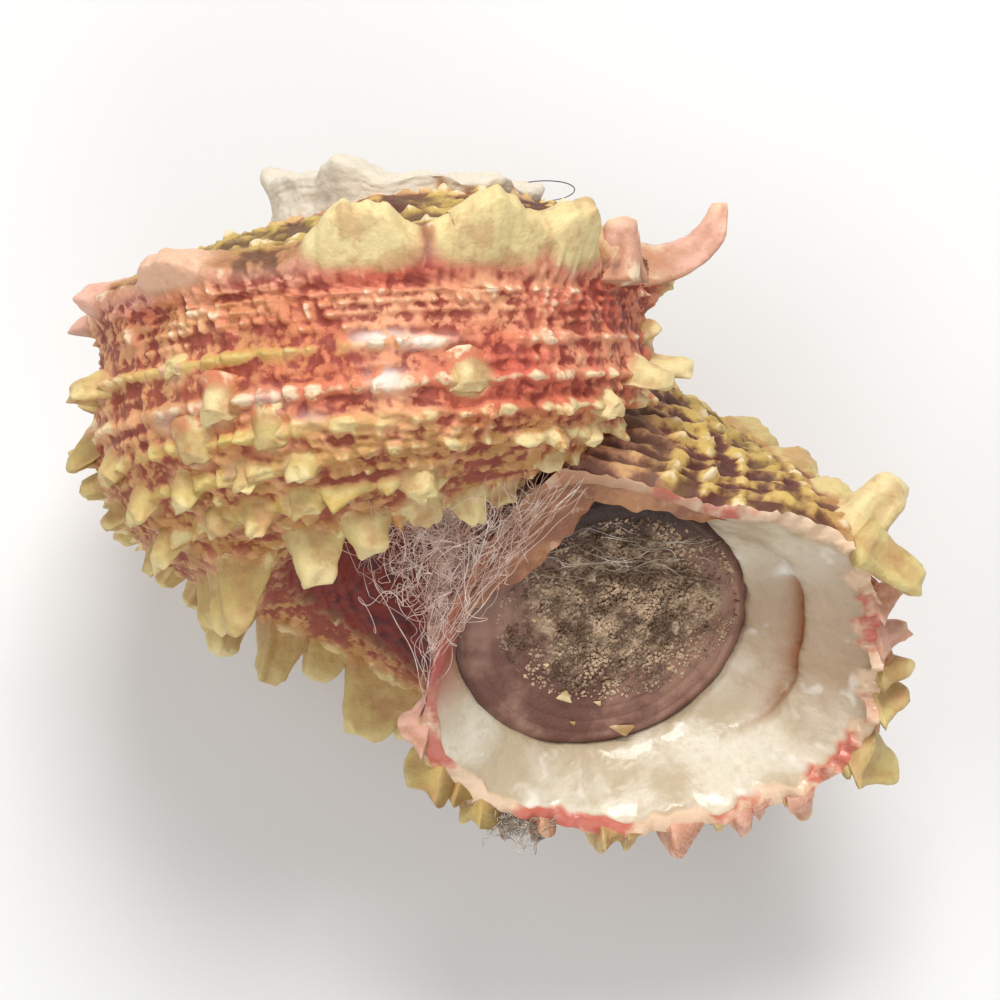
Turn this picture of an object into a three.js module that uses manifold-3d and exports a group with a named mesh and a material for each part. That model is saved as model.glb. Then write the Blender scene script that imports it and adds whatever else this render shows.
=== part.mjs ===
// A dolphin shell: one grown shell with its keel, ridges and spines, and the horny operculum that
// closes its mouth. Lengths are in millimetres and angles in degrees.
//
// The shell is a tube wound on a helical spiral. Every place on it is given by an angle and a place on
// the outline: the angle counts back in growth from the mouth (0) and the outline is a closed curve
// through numbered points that starts at the seam with the whorl above, and goes over the ramp, the
// keel, the outer side, the base and the umbilicus.
import * as THREE from 'three';
import { mergeVertices } from 'three/addons/utils/BufferGeometryUtils.js';
import Module from 'manifold-3d';

const wasm = await Module();
wasm.setup();

// Growth: the axis distance and the size of the tube at the mouth, and their ratio for each whorl
const mouthRadius = 17.6;
const radiusRatio = 2.05;
const mouthSize = 13.6;
const sizeRatio = 1.93;
const apexAngle = 1080;

// Height of the tube's centre over the mouth's centre, at some angles
const heightAngles = [-40, 0, 30, 60, 90, 135, 180, 270, 360, 450, 540, 720, 900, 1100];
const heights = [-6.6, 0, 4.9, 8.9, 11.4, 13.8, 15.5, 19.3, 21.8, 24.9, 27.6, 29.3, 30.1, 30.5];

// Outline of a whorl and of the flared mouth, outward and upward, in units of the tube's size
const bodyOutline = [
  [-0.42, 0.98], [-0.02, 1.0], [0.4, 0.91], [0.76, 0.82], [1.04, 0.74], [0.99, 0.52],
  [0.96, 0.28], [0.97, -0.06], [0.92, -0.34], [0.8, -0.6], [0.54, -0.86], [0.12, -1.04],
  [-0.28, -1.02], [-0.6, -0.8], [-0.82, -0.45], [-0.9, -0.05], [-0.88, 0.35], [-0.74, 0.75],
];
const mouthOutline = [
  [-0.55, 1.05], [-0.12, 0.99], [0.28, 0.86], [0.66, 0.8], [1.0, 0.62], [1.1, 0.36],
  [1.15, 0.1], [1.17, -0.2], [1.12, -0.5], [0.88, -0.76], [0.5, -0.94], [0.05, -1.03],
  [-0.45, -1.0], [-0.88, -0.84], [-1.14, -0.55], [-1.18, -0.15], [-1.08, 0.25], [-0.85, 0.75],
];
const flareAngle = 45;

// The ramp between the seam and the keel bulges upward, but not at the mouth and not on the worn crown
const rampBulge = [0.4, 0.36, 0.31, 0.18];
const rampAngles = [20, 80, 420, 530];

// Wall: the hollow's outline is the tube's outline made smaller
const hollowShare = 0.86;
const lipShare = 0.955;
const hollowAngle = 200;

// Inside the lip the wall thickens to a shelf round the operculum: the hollow's share by place
const shelfPlaces = [0, 2, 3, 4, 5, 8, 9, 10, 12, 13, 14, 15, 17, 18];
const shelfShares = [0.9, 0.8, 0.67, 0.56, 0.53, 0.53, 0.6, 0.68, 0.68, 0.76, 0.83, 0.92, 0.92, 0.9];
const shelfAngles = [0, 7, 8.5, 13, 15, 24];
const shelfFirstRise = 0.55;

// Rows of spines, named by the place on the outline that they stand on
const rowPlace = { keel: 4, upper: 6.5, middle: 7.45, lower: 8.4, skirt: 9.3, base: 10.2, rim: 11.2 };

// The spines seen in the photograph, in each row: angle, length, width and lift toward the apex
const seenSpines = {
  keel: [
    [1, 5.2, 4.4, -60], [8, 4.6, 4.8, -2], [15, 2.2, 4.2, 5], [27, 2.2, 4.6, 5], [39, 2.4, 4.8, 0],
    [51, 2.8, 4.8, 5], [168, 3.0, 3.6, -60], [191, 2.4, 3.8, -35], [222, 4.0, 7.4, -6],
    [261, 4.4, 8.0, 16], [286, 5.2, 8.0, 16], [305, 4.8, 5.4, 12], [325, 4.0, 3.2, 12],
  ],
  crown: [
    [572, 1.2, 3.6, 50], [598, 2.6, 4.6, 5], [634, 1.4, 4.4, 0], [668, 1.5, 3.6, 0], [712, 1.2, 3.0, 0],
  ],
  upper: [[5, 1.3, 2.8, 0], [191, 3.0, 3.4, -15], [218, 1.2, 2.6, -20], [350, 1.6, 2.6, 25]],
  middle: [
    [5, 1.6, 3.0, 20], [166, 2.8, 2.8, -5], [177, 3.0, 2.8, -35], [227, 2.4, 3.2, -45],
    [279, 1.6, 3.0, -40], [332, 3.2, 2.8, -10], [352, 3.9, 3.2, 5],
  ],
  lower: [
    [5, 2.8, 3.6, 15], [190, 1.6, 2.8, -30], [219, 2.3, 3.2, -45], [236, 2.0, 3.0, -40],
    [318, 1.8, 2.6, -10],
  ],
  skirt: [
    [5, 1.6, 3.2, 10], [196, 2.4, 2.8, -20], [211, 2.2, 2.6, -20], [227, 1.8, 2.6, -15],
    [240, 1.6, 2.6, -15], [317, 1.4, 2.4, -10],
  ],
  base: [
    [5, 1.7, 3.0, 0], [13, 3.0, 3.4, 0], [171, 2.0, 2.8, 0], [190, 2.8, 3.0, 0], [212, 1.8, 2.8, 0],
    [223, 2.5, 2.8, 0], [236, 1.6, 2.8, 0], [266, 1.8, 3.0, 0], [310, 1.2, 2.4, 0],
  ],
  rim: [
    [5, 2.2, 3.0, 0], [48, 5.6, 4.4, 0], [66, 5.4, 4.2, 0], [82, 6.2, 5.6, 0], [103, 3.4, 4.0, 0],
    [120, 5.0, 4.0, 0], [146, 4.6, 4.0, 0], [171, 4.0, 3.8, 0], [186, 5.4, 3.6, 0],
    [195, 6.0, 3.8, 0], [226, 4.2, 3.8, 0], [244, 3.2, 3.6, 0], [265, 2.0, 3.4, 0],
    [284, 2.6, 3.2, 0], [301, 2.0, 3.0, 0],
  ],
};

// The shell lies on the three longest spines of its far side: row, angle, length, width
const footSpines = [
  ['keel', 66, 7.0, 4.8], ['keel', 116, 8.2, 5.0], ['lower', 90, 3.6, 3.4],
];

// Other spines that the photograph doesn't show: row, first and last angle, step, length, width
const hiddenSpines = [
  ['keel', 82, 100, 18, 2.4, 4.8],
  ['keel', 133, 151, 17, 3.8, 4.8],
  ['keel', 392, 530, 23, 2.8, 3.8],
  ['upper', 24, 172, 18.5, 1.7, 2.8],
  ['middle', 16, 150, 16.5, 2.3, 3.0],
  ['lower', 18, 72, 18, 2.0, 2.9],
  ['lower', 108, 172, 18, 2.0, 2.9],
  ['skirt', 18, 178, 20, 1.9, 2.8],
  ['base', 30, 154, 17.5, 2.3, 3.0],
];

// The one long spine at the right curls up from the keel
const longSpine = { angle: 355, length: 8.1, width: 3.0, lift: -32, curl: 101, taper: 0.34 };

// Spines stand a little way into the wall, are flatter than wide and narrow by their taper to the tip.
// The broad knobs of the keel are flatter still.
const spineDepth = 1.3;
const spineTaper = 0.6;
const spineThickness = 0.62;
const knobThickness = 0.45;
const knobWidth = 6;

// Operculum: a thin disc of horn, set back in the mouth
const discAngle = 14;
const discRadius = 10.2;
const discOval = 1.07;
const discShift = [-0.223, 0.018];
const discGap = 0.35;
const discProfile = [
  [0, -0.9], [7.2, -0.75], [9.5, -0.45], [10.2, 0.0], [9.6, 0.4], [7.8, 0.32], [4.6, 0.55], [0, 0.7],
];
const discSides = 32;

// The fold of the inner lip over the operculum: how far it leaves the mouth open, at some places
const foldPlaces = [15.4, 16, 16.4, 16.7, 17, 17.4, 17.8, 18.2, 18.8, 19.6];
const foldShares = [0.96, 0.91, 0.8, 0.75, 0.71, 0.72, 0.8, 0.88, 0.93, 0.96];
const foldRoot = 0.975;
const foldAngles = [4.5, 6.5];

// The tip of the spiral, a small dome on the axis
const tipRadius = 2.0;

// Facets that differ by less than this are merged
const simplifyBy = 0.06;

// How the shell lies: the apex direction as seen from above, then the turn that puts it on its back
const apexLean = 2;
const apexAway = 1.5;
const restTurnX = 6.8;
const restTurnY = -2.8;

const degree = Math.PI / 180;

// Smooth curve through the knots: each stretch is a cubic whose end slopes join the knots' neighbours
function curveThrough(knots, values, x) {
  const last = knots.length - 1;
  const found = knots.findIndex((knot) => knot > x);
  const i = Math.max(0, (found < 0 ? last : Math.min(found, last)) - 1);
  const slope = (k) => {
    const a = Math.max(0, k - 1);
    const b = Math.min(last, k + 1);
    return (values[b] - values[a]) / (knots[b] - knots[a]);
  };
  const width = knots[i + 1] - knots[i];
  const t = (x - knots[i]) / width;
  const start = values[i] * (2 * t ** 3 - 3 * t ** 2 + 1) + slope(i) * width * (t ** 3 - 2 * t ** 2 + t);
  const end = values[i + 1] * (3 * t ** 2 - 2 * t ** 3) + slope(i + 1) * width * (t ** 3 - t ** 2);
  return start + end;
}

function centreAt(angle) {
  const radius = mouthRadius * radiusRatio ** (-angle / 360);
  const turn = angle * degree;
  const height = curveThrough(heightAngles, heights, angle);
  return new THREE.Vector3(radius * Math.cos(turn), radius * Math.sin(turn), height);
}

function sizeAt(angle) {
  return mouthSize * sizeRatio ** (-angle / 360);
}

// Axes of the outline's plane at an angle: ahead is the direction of growth
function frameAt(angle) {
  const step = 0.5;
  const ahead = centreAt(angle - step).sub(centreAt(angle + step)).normalize();
  const out = new THREE.Vector3(Math.cos(angle * degree), Math.sin(angle * degree), 0);
  out.addScaledVector(ahead, -out.dot(ahead)).normalize();
  const up = new THREE.Vector3().crossVectors(ahead, out);
  if (up.z < 0) up.negate();
  return { centre: centreAt(angle), ahead, out, up };
}

// Closed curve through the outline's points, at a place between 0 and their number
function outlineAt(points, place) {
  const count = points.length;
  const i = Math.floor(place);
  const t = place - i;
  const [a, b, c, d] = [-1, 0, 1, 2].map((k) => points[(i + k + count) % count]);
  return [0, 1].map((k) => 0.5 * (2 * b[k] + (c[k] - a[k]) * t
    + (2 * a[k] - 5 * b[k] + 4 * c[k] - d[k]) * t ** 2
    + (3 * b[k] - a[k] - 3 * c[k] + d[k]) * t ** 3));
}

function outlineOf(angle, place) {
  const flare = 1 - THREE.MathUtils.smoothstep(angle, 0, flareAngle);
  const rise = THREE.MathUtils.smoothstep(angle, rampAngles[0], rampAngles[1])
    - THREE.MathUtils.smoothstep(angle, rampAngles[2], rampAngles[3]);
  const raised = bodyOutline.map(([x, y], i) => [x, y + rise * (rampBulge[i] ?? 0)]);
  const body = outlineAt(raised, place);
  const mouth = outlineAt(mouthOutline, place);
  return body.map((value, k) => value + (mouth[k] - value) * flare);
}

function pointAt(angle, place, share = 1) {
  const { centre, out, up } = frameAt(angle);
  const [x, y] = outlineOf(angle, place);
  const size = sizeAt(angle) * share;
  return centre.addScaledVector(out, x * size).addScaledVector(up, y * size);
}

// Solid from a stack of rings of points, closed by a fan at each end
function solidFromRings(rings) {
  const around = rings[0].length;
  const points = rings.flat();
  const triangles = [];
  for (let ring = 0; ring < rings.length - 1; ring += 1) {
    for (let k = 0; k < around; k += 1) {
      const a = ring * around + k;
      const b = ring * around + (k + 1) % around;
      triangles.push(a, b, b + around, a, b + around, a + around);
    }
  }
  const middle = (ring) => ring.reduce((sum, p) => sum.add(p), new THREE.Vector3()).divideScalar(around);
  const first = points.push(middle(rings[0])) - 1;
  const last = points.push(middle(rings.at(-1))) - 1;
  const lastRing = (rings.length - 1) * around;
  for (let k = 0; k < around; k += 1) {
    const next = (k + 1) % around;
    triangles.push(first, next, k);
    triangles.push(last, lastRing + k, lastRing + next);
  }
  return toSolid(points.flatMap((p) => p.toArray()), triangles);
}

// A closed body for joining and cutting, turned right side out if its faces point inward
function toSolid(positions, triangles) {
  const vertProperties = new Float32Array(positions);
  const build = (indices) => new wasm.Manifold(
    new wasm.Mesh({ numProp: 3, vertProperties, triVerts: new Uint32Array(indices) }),
  );
  const corner = (i) => new THREE.Vector3().fromArray(positions, i * 3);
  let volume = 0;
  for (let i = 0; i < triangles.length; i += 3) {
    const [a, b, c] = [0, 1, 2].map((k) => corner(triangles[i + k]));
    volume += a.dot(b.cross(c));
  }
  const flipped = triangles.map((_, i) => triangles[i - (i % 3) + [0, 2, 1][i % 3]]);
  return build(volume < 0 ? flipped : triangles);
}

// Steps along the whorls: shorter near the mouth, where the tube is wide
function anglesBetween(from, to, step) {
  const count = Math.round((to - from) / step);
  return Array.from({ length: count + 1 }, (_, i) => from + (to - from) * (i / count));
}

function tubeSolid(angles, places, shareAt) {
  const ringAt = (angle) => places.map((place) => pointAt(angle, place, shareAt(angle, place)));
  return solidFromRings(angles.map(ringAt));
}

// A spine: rings that shrink toward a blunt tip, along an axis that can curl upward
function spineSolid({ angle, place, length, width, lift, curl = 0, taper = spineTaper, sides = 6 }) {
  const root = pointAt(angle, place);
  const along = pointAt(angle - 0.5, place).sub(pointAt(angle + 0.5, place)).normalize();
  const upward = pointAt(angle, place - 0.1).sub(pointAt(angle, place + 0.1));
  upward.addScaledVector(along, -upward.dot(along)).normalize();
  const outward = new THREE.Vector3().crossVectors(along, upward);
  if (outward.dot(root.clone().sub(centreAt(angle))) < 0) outward.negate();
  const steps = curl ? [0, 0.2, 0.4, 0.6, 0.8, 0.95] : [0, 0.45, 0.9];
  const thickness = width > knobWidth ? knobThickness : spineThickness;
  const middle = root.clone();
  const rings = [];
  const ringAt = (centre, turn, share) => {
    const across = upward.clone().multiplyScalar(Math.cos(turn));
    across.addScaledVector(outward, -Math.sin(turn));
    return Array.from({ length: sides }, (_, k) => {
      const side = (k / sides) * 2 * Math.PI;
      return centre.clone()
        .addScaledVector(along, Math.cos(side) * share * width / 2)
        .addScaledVector(across, Math.sin(side) * share * thickness * width / 2);
    });
  };
  steps.forEach((t, i) => {
    const turn = (lift + curl * t) * degree;
    const axis = outward.clone().multiplyScalar(Math.cos(turn)).addScaledVector(upward, Math.sin(turn));
    if (i === 0) rings.push(ringAt(middle.clone().addScaledVector(axis, -spineDepth), turn, 1));
    middle.addScaledVector(axis, (t - (steps[i - 1] ?? 0)) * length);
    if (i > 0) rings.push(ringAt(middle, turn, 1 - taper * t ** 1.2));
  });
  return solidFromRings(rings);
}

function allSpines() {
  const smallRows = ['upper', 'middle', 'lower', 'skirt', 'base'];
  const sidesOf = (row) => (smallRows.includes(row) ? 4 : 6);
  const seen = Object.entries(seenSpines).flatMap(([row, spines]) => {
    const place = rowPlace[row] ?? rowPlace.keel;
    return spines.map(([angle, length, width, lift]) => (
      { angle, place, length, width, lift, sides: sidesOf(row) }
    ));
  });
  const hidden = hiddenSpines.flatMap(([row, from, to, step, length, width]) => (
    anglesBetween(from, to, step).map((angle, i) => (
      {
        angle,
        place: rowPlace[row],
        length: length * (i % 2 ? 0.85 : 1.1),
        width,
        lift: 0,
        sides: sidesOf(row),
      }
    ))
  ));
  const feet = footSpines.map(([row, angle, length, width]) => (
    { angle, place: rowPlace[row], length, width, lift: 0 }
  ));
  return [...seen, ...hidden, ...feet, { ...longSpine, place: rowPlace.keel }].map(spineSolid);
}

// Places on the outline where the solid has its edges: close together at the keel, far apart inside
const outerPlaces = [0, 1, 2, 3, 3.7, 4, 4.4, 5, 6, 7, 8, 9, 10, 11, 12, 13, 14.5, 16];
const hollowPlaces = [0, 1, 2, 3, 4, 5, 6, 7, 8, 9, 10, 11, 12, 13.2, 14.6, 16.2];

function discSolid(radiusShare, faceRaise) {
  const profile = discProfile.map(([x, y]) => (
    new THREE.Vector2(x * radiusShare, y + Math.sign(y) * faceRaise)
  ));
  const lathe = new THREE.LatheGeometry(profile, discSides).rotateX(Math.PI / 2);
  const { centre, ahead, out, up } = frameAt(discAngle);
  const size = sizeAt(discAngle);
  centre.addScaledVector(out, discShift[0] * size).addScaledVector(up, discShift[1] * size);
  const side = new THREE.Vector3().crossVectors(up, ahead).multiplyScalar(discOval);
  const placed = new THREE.Matrix4().makeBasis(side, up, ahead).setPosition(centre);
  return geometryToSolid(lathe.applyMatrix4(placed));
}

// The fold, a thin plate between the wall and its free edge
function foldSolid() {
  const outlineLength = mouthOutline.length;
  return solidFromRings(foldPlaces.map((place, i) => {
    const [front, back] = foldAngles;
    const at = (angle, share) => pointAt(angle, place % outlineLength, share);
    return [at(front, foldRoot), at(front, foldShares[i]), at(back, foldShares[i]), at(back, foldRoot)];
  }));
}

function geometryToSolid(geometry) {
  geometry.deleteAttribute('normal');
  geometry.deleteAttribute('uv');
  const merged = mergeVertices(geometry, 1e-4);
  const kept = [];
  const index = merged.index.array;
  for (let i = 0; i < index.length; i += 3) {
    const [a, b, c] = [index[i], index[i + 1], index[i + 2]];
    if (a !== b && b !== c && a !== c) kept.push(a, b, c);
  }
  return toSolid(Array.from(merged.attributes.position.array), kept);
}

// From the lip the hollow narrows in two steps to the shelf, and behind the operculum it widens again
function hollowShareAt(angle, place) {
  const [start, ledge, groove, edge, back, deep] = shelfAngles;
  const step = (low, high) => THREE.MathUtils.smoothstep(angle, low, high);
  const rise = shelfFirstRise * step(start, ledge) + (1 - shelfFirstRise) * step(groove, edge);
  const shelf = curveThrough(shelfPlaces, shelfShares, place);
  const front = lipShare + (shelf - lipShare) * rise;
  return front + (hollowShare - front) * step(back, deep);
}

function shellSolid() {
  const full = () => 1;
  const tube = [
    tubeSolid(anglesBetween(0, 180, 15), outerPlaces, full),
    tubeSolid(anglesBetween(180, 360, 18), outerPlaces, full),
    tubeSolid(anglesBetween(360, 540, 18), outerPlaces, full),
    tubeSolid(anglesBetween(540, 720, 22.5), outerPlaces, full),
    tubeSolid(anglesBetween(720, 900, 30), outerPlaces, full),
    tubeSolid(anglesBetween(900, apexAngle, 36), outerPlaces, full),
  ];
  const tip = new THREE.SphereGeometry(tipRadius, 12, 8);
  tip.translate(0, 0, centreAt(apexAngle).z);
  const grown = wasm.Manifold.union([...tube, geometryToSolid(tip), ...allSpines()]);
  const [, , , shelfEdge, shelfBack, deep] = shelfAngles;
  const hollowAngles = [-5, 1, 4, 7, 10, shelfEdge, shelfBack, ...anglesBetween(deep, hollowAngle, 16)];
  const hollow = tubeSolid(hollowAngles, hollowPlaces, hollowShareAt);
  const earlier = [tube[2], tubeSolid(anglesBetween(306, 360, 18), outerPlaces, full)];
  const cut = hollow.subtract(wasm.Manifold.union(earlier));
  const seat = discSolid((discRadius + discGap) / discRadius, discGap);
  const hollowed = outermost(grown).subtract(cut).subtract(seat).add(foldSolid());
  return outermost(hollowed).simplify(simplifyBy);
}

// The outer skin alone: the small gaps that the whorls close off between them are filled
function outermost(solid) {
  return solid.decompose().reduce((best, piece) => (piece.volume() > best.volume() ? piece : best));
}

function toMesh(solid, name, material) {
  const { vertProperties, triVerts } = solid.getMesh();
  const geometry = new THREE.BufferGeometry();
  geometry.setAttribute('position', new THREE.BufferAttribute(vertProperties, 3));
  geometry.setIndex(new THREE.BufferAttribute(triVerts, 1));
  const mesh = new THREE.Mesh(geometry, material);
  mesh.name = name;
  return mesh;
}

const shellMaterial = new THREE.MeshStandardMaterial({ color: 0xd8a488, roughness: 0.55, metalness: 0 });
const hornMaterial = new THREE.MeshStandardMaterial({ color: 0x4a3630, roughness: 0.6, metalness: 0 });

// The whorls grow along z, which is laid down so that the apex points to the far side of the ground
const grown = new THREE.Group();
grown.rotation.x = -Math.PI / 2;
grown.add(toMesh(shellSolid(), 'shell', shellMaterial));
grown.add(toMesh(discSolid(1, 0), 'operculum', hornMaterial));

const away = new THREE.Group();
away.rotation.x = -apexAway * degree;
away.add(grown);

const leaning = new THREE.Group();
leaning.rotation.z = -apexLean * degree;
leaning.add(away);

const resting = new THREE.Group();
resting.rotation.set(restTurnX * degree, restTurnY * degree, 0);
resting.add(leaning);

// The lowest point of the shell lies on the ground, under the middle of its outline seen from above
const object = new THREE.Group();
object.add(resting);
object.updateMatrixWorld(true);
const box = new THREE.Box3().setFromObject(object, true);
const middle = box.getCenter(new THREE.Vector3());
resting.position.set(-middle.x, -middle.y, -box.min.z);

export default object;
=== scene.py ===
import math
import bpy
import numpy as np
from mathutils import Matrix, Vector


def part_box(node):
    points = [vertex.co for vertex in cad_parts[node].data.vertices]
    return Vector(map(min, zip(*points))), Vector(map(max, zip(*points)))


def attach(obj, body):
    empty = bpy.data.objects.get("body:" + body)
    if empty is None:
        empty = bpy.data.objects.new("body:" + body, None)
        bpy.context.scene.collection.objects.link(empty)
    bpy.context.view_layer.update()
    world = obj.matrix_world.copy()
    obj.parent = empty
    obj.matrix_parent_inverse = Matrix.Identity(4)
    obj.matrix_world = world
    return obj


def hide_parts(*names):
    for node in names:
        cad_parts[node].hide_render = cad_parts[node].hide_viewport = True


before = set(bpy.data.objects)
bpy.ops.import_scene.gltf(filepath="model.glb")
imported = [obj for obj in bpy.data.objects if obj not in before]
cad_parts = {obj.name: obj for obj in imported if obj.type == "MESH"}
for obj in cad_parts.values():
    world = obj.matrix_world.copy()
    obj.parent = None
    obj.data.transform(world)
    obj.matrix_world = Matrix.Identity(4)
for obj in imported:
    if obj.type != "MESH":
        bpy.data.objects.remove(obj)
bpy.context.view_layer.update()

rng = np.random.default_rng(7)

# The tube's growth, in millimetres and degrees: the same driving values as the solid's.
# An angle counts back in growth from the mouth. A place runs round the outline: 0 is the seam with
# the whorl above, 4 the keel, 11 the rim of the umbilicus.
growth = {
    "mouthRadius": 17.6, "radiusRatio": 2.05, "mouthSize": 13.6, "sizeRatio": 1.93,
    "heightAngles": [-40, 0, 30, 60, 90, 135, 180, 270, 360, 450, 540, 720, 900, 1100],
    "heights": [-6.6, 0, 4.9, 8.9, 11.4, 13.8, 15.5, 19.3, 21.8, 24.9, 27.6, 29.3, 30.1, 30.5],
    "body": [
        (-0.42, 0.98), (-0.02, 1.0), (0.4, 0.91), (0.76, 0.82), (1.04, 0.74), (0.99, 0.52),
        (0.96, 0.28), (0.97, -0.06), (0.92, -0.34), (0.8, -0.6), (0.54, -0.86), (0.12, -1.04),
        (-0.28, -1.02), (-0.6, -0.8), (-0.82, -0.45), (-0.9, -0.05), (-0.88, 0.35), (-0.74, 0.75)],
    "mouth": [
        (-0.55, 1.05), (-0.12, 0.99), (0.28, 0.86), (0.66, 0.8), (1.0, 0.62), (1.1, 0.36),
        (1.15, 0.1), (1.17, -0.2), (1.12, -0.5), (0.88, -0.76), (0.5, -0.94), (0.05, -1.03),
        (-0.45, -1.0), (-0.88, -0.84), (-1.14, -0.55), (-1.18, -0.15), (-1.08, 0.25), (-0.85, 0.75)],
    "flareAngle": 45, "rampBulge": [0.4, 0.36, 0.31, 0.18], "rampAngles": [20, 80, 420, 530],
    "rows": {"keel": 4, "crown": 4, "upper": 6.5, "middle": 7.45, "lower": 8.4, "skirt": 9.3,
             "base": 10.2, "rim": 11.2},
}

# How the shell lies: the axis away from the viewer, its lean, and the turn that rests it on its back
lying = {"away": 1.5, "lean": 2.0, "turnX": 6.8, "turnY": -2.8}

disc = {"angle": 14, "radius": 10.2, "oval": 1.07, "shift": (-0.223, 0.018)}


# Maths shared by all pieces
def smooth(x, low, high):
    # eased step: 3t^2 - 2t^3 for t from 0 at low to 1 at high
    t = np.clip((np.asarray(x, float) - low) / (high - low), 0, 1)
    return t * t * (3 - 2 * t)


def curveThrough(knots, values, x):
    # cubic between two knots whose end slopes join each knot's neighbours
    knots = np.asarray(knots, float)
    values = np.asarray(values, float)
    last = len(knots) - 1
    before = np.maximum(np.arange(last + 1) - 1, 0)
    after = np.minimum(np.arange(last + 1) + 1, last)
    slope = (values[after] - values[before]) / (knots[after] - knots[before])
    i = np.clip(np.searchsorted(knots, x, side="right") - 1, 0, last - 1)
    width = knots[i + 1] - knots[i]
    t = (x - knots[i]) / width
    start = values[i] * (2 * t**3 - 3 * t**2 + 1) + slope[i] * width * (t**3 - 2 * t**2 + t)
    return start + values[i + 1] * (3 * t**2 - 2 * t**3) + slope[i + 1] * width * (t**3 - t**2)


def unit(v):
    # each vector over its own length
    return v / np.maximum(np.linalg.norm(v, axis=-1, keepdims=True), 1e-12)


def centreAt(angle):
    # helix: axis distance shrinks by one ratio a whorl, height follows the curve of heights
    angle = np.asarray(angle, float)
    radius = growth["mouthRadius"] * growth["radiusRatio"] ** (-angle / 360)
    turn = np.radians(angle)
    height = curveThrough(growth["heightAngles"], growth["heights"], angle)
    return np.stack([radius * np.cos(turn), radius * np.sin(turn), height], -1)


def sizeAt(angle):
    # the tube's size: mouth size times one ratio a whorl
    return growth["mouthSize"] * growth["sizeRatio"] ** (-np.asarray(angle, float) / 360)


def frameAt(angle):
    # ahead is the spiral's tangent, out the radial direction made square to it, up their cross product
    angle = np.asarray(angle, float)
    ahead = unit(centreAt(angle - 0.5) - centreAt(angle + 0.5))
    turn = np.radians(angle)
    out = np.stack([np.cos(turn), np.sin(turn), 0 * turn], -1)
    out = unit(out - (out * ahead).sum(-1, keepdims=True) * ahead)
    up = np.cross(ahead, out)
    up = up * np.where(up[..., 2:] < 0, -1, 1)
    return centreAt(angle), ahead, out, up


def closedCurve(points, place):
    # smooth closed curve through the points, cubic in the share between two of them
    points = np.asarray(points, float)
    count = len(points)
    i = np.floor(place).astype(int)
    t = (place - i)[..., None]
    a, b, c, d = (points[(i + k) % count] for k in (-1, 0, 1, 2))
    return 0.5 * (2 * b + (c - a) * t + (2 * a - 5 * b + 4 * c - d) * t**2
                  + (3 * b - a - 3 * c + d) * t**3)


def outlineOf(angle, place):
    # the body outline with its bulging ramp, blended into the flared mouth outline near the lip
    flare = (1 - smooth(angle, 0, growth["flareAngle"]))[..., None]
    low, lowEnd, high, highEnd = growth["rampAngles"]
    rise = smooth(angle, low, lowEnd) - smooth(angle, high, highEnd)
    bulge = np.zeros((len(growth["body"]), 2))
    bulge[:len(growth["rampBulge"]), 1] = growth["rampBulge"]
    body = closedCurve(growth["body"], place) + closedCurve(bulge, place) * rise[..., None]
    return body + (closedCurve(growth["mouth"], place) - body) * flare


def pointAt(angle, place, share=1.0):
    # centre + out * x + up * y, with (x, y) the outline's point times the size and a share
    angle, place = np.broadcast_arrays(np.asarray(angle, float), np.asarray(place, float))
    centre, ahead, out, up = frameAt(angle)
    shape = outlineOf(angle, place) * (sizeAt(angle) * share)[..., None]
    return centre + shape[..., :1] * out + shape[..., 1:] * up


def surfaceAxes(angle, place):
    # along growth, up toward the apex and outward from the surface, by differences on the surface
    along = unit(pointAt(angle - 0.5, place) - pointAt(angle + 0.5, place))
    upward = pointAt(angle, place - 0.1) - pointAt(angle, place + 0.1)
    upward = unit(upward - (upward * along).sum(-1, keepdims=True) * along)
    outward = np.cross(along, upward)
    side = (outward * (pointAt(angle, place) - centreAt(angle))).sum(-1, keepdims=True)
    return along, upward, outward * np.where(side < 0, -1, 1)


def turned(axis, degrees):
    # the matrix of a turn about one axis
    c, s = math.cos(math.radians(degrees)), math.sin(math.radians(degrees))
    return np.array({"x": [[1, 0, 0], [0, c, -s], [0, s, c]], "y": [[c, 0, s], [0, 1, 0], [-s, 0, c]],
                     "z": [[c, -s, 0], [s, c, 0], [0, 0, 1]]}[axis])


restTurn = turned("x", lying["turnX"]) @ turned("y", lying["turnY"])
lieTurn = restTurn @ turned("z", -lying["lean"]) @ turned("x", -lying["away"]) @ turned("x", -90)


def discFrame():
    # the disc's middle and its axes: side, up and the way that it faces
    centre, ahead, out, up = frameAt(float(disc["angle"]))
    size = sizeAt(disc["angle"])
    centre = centre + disc["shift"][0] * size * out + disc["shift"][1] * size * up
    return centre, np.cross(up, ahead) * disc["oval"], up, ahead


def findOffset():
    # the operculum's rim, laid as the shell lies, is set against the solid's own box
    centre, side, up, ahead = discFrame()
    turn = np.linspace(0, 2 * np.pi, 720)[:, None]
    rim = (centre + disc["radius"] * (np.cos(turn) * side + np.sin(turn) * up)) @ lieTurn.T
    low, high = (np.array(corner) * 1000 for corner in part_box("operculum"))
    return (low + high) / 2 - (rim.min(0) + rim.max(0)) / 2


lieOffset = findOffset()


def toScene(points):
    # from the shell's own frame in millimetres to the scene in metres
    return (np.asarray(points) @ lieTurn.T + lieOffset) / 1000


def hashed(*keys):
    # a number from 0 to 1 for each set of whole numbers, the same at every run: the broken part of
    # a large sine of their weighted sum
    weights = (12.9898, 78.233, 37.719, 94.673)
    large = 43758.5453
    total = np.zeros(np.broadcast(*keys).shape)
    for weight, key in zip(weights, keys):
        total = total + np.asarray(key) * weight
    value = np.sin(total) * large
    return value - np.floor(value)


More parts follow.
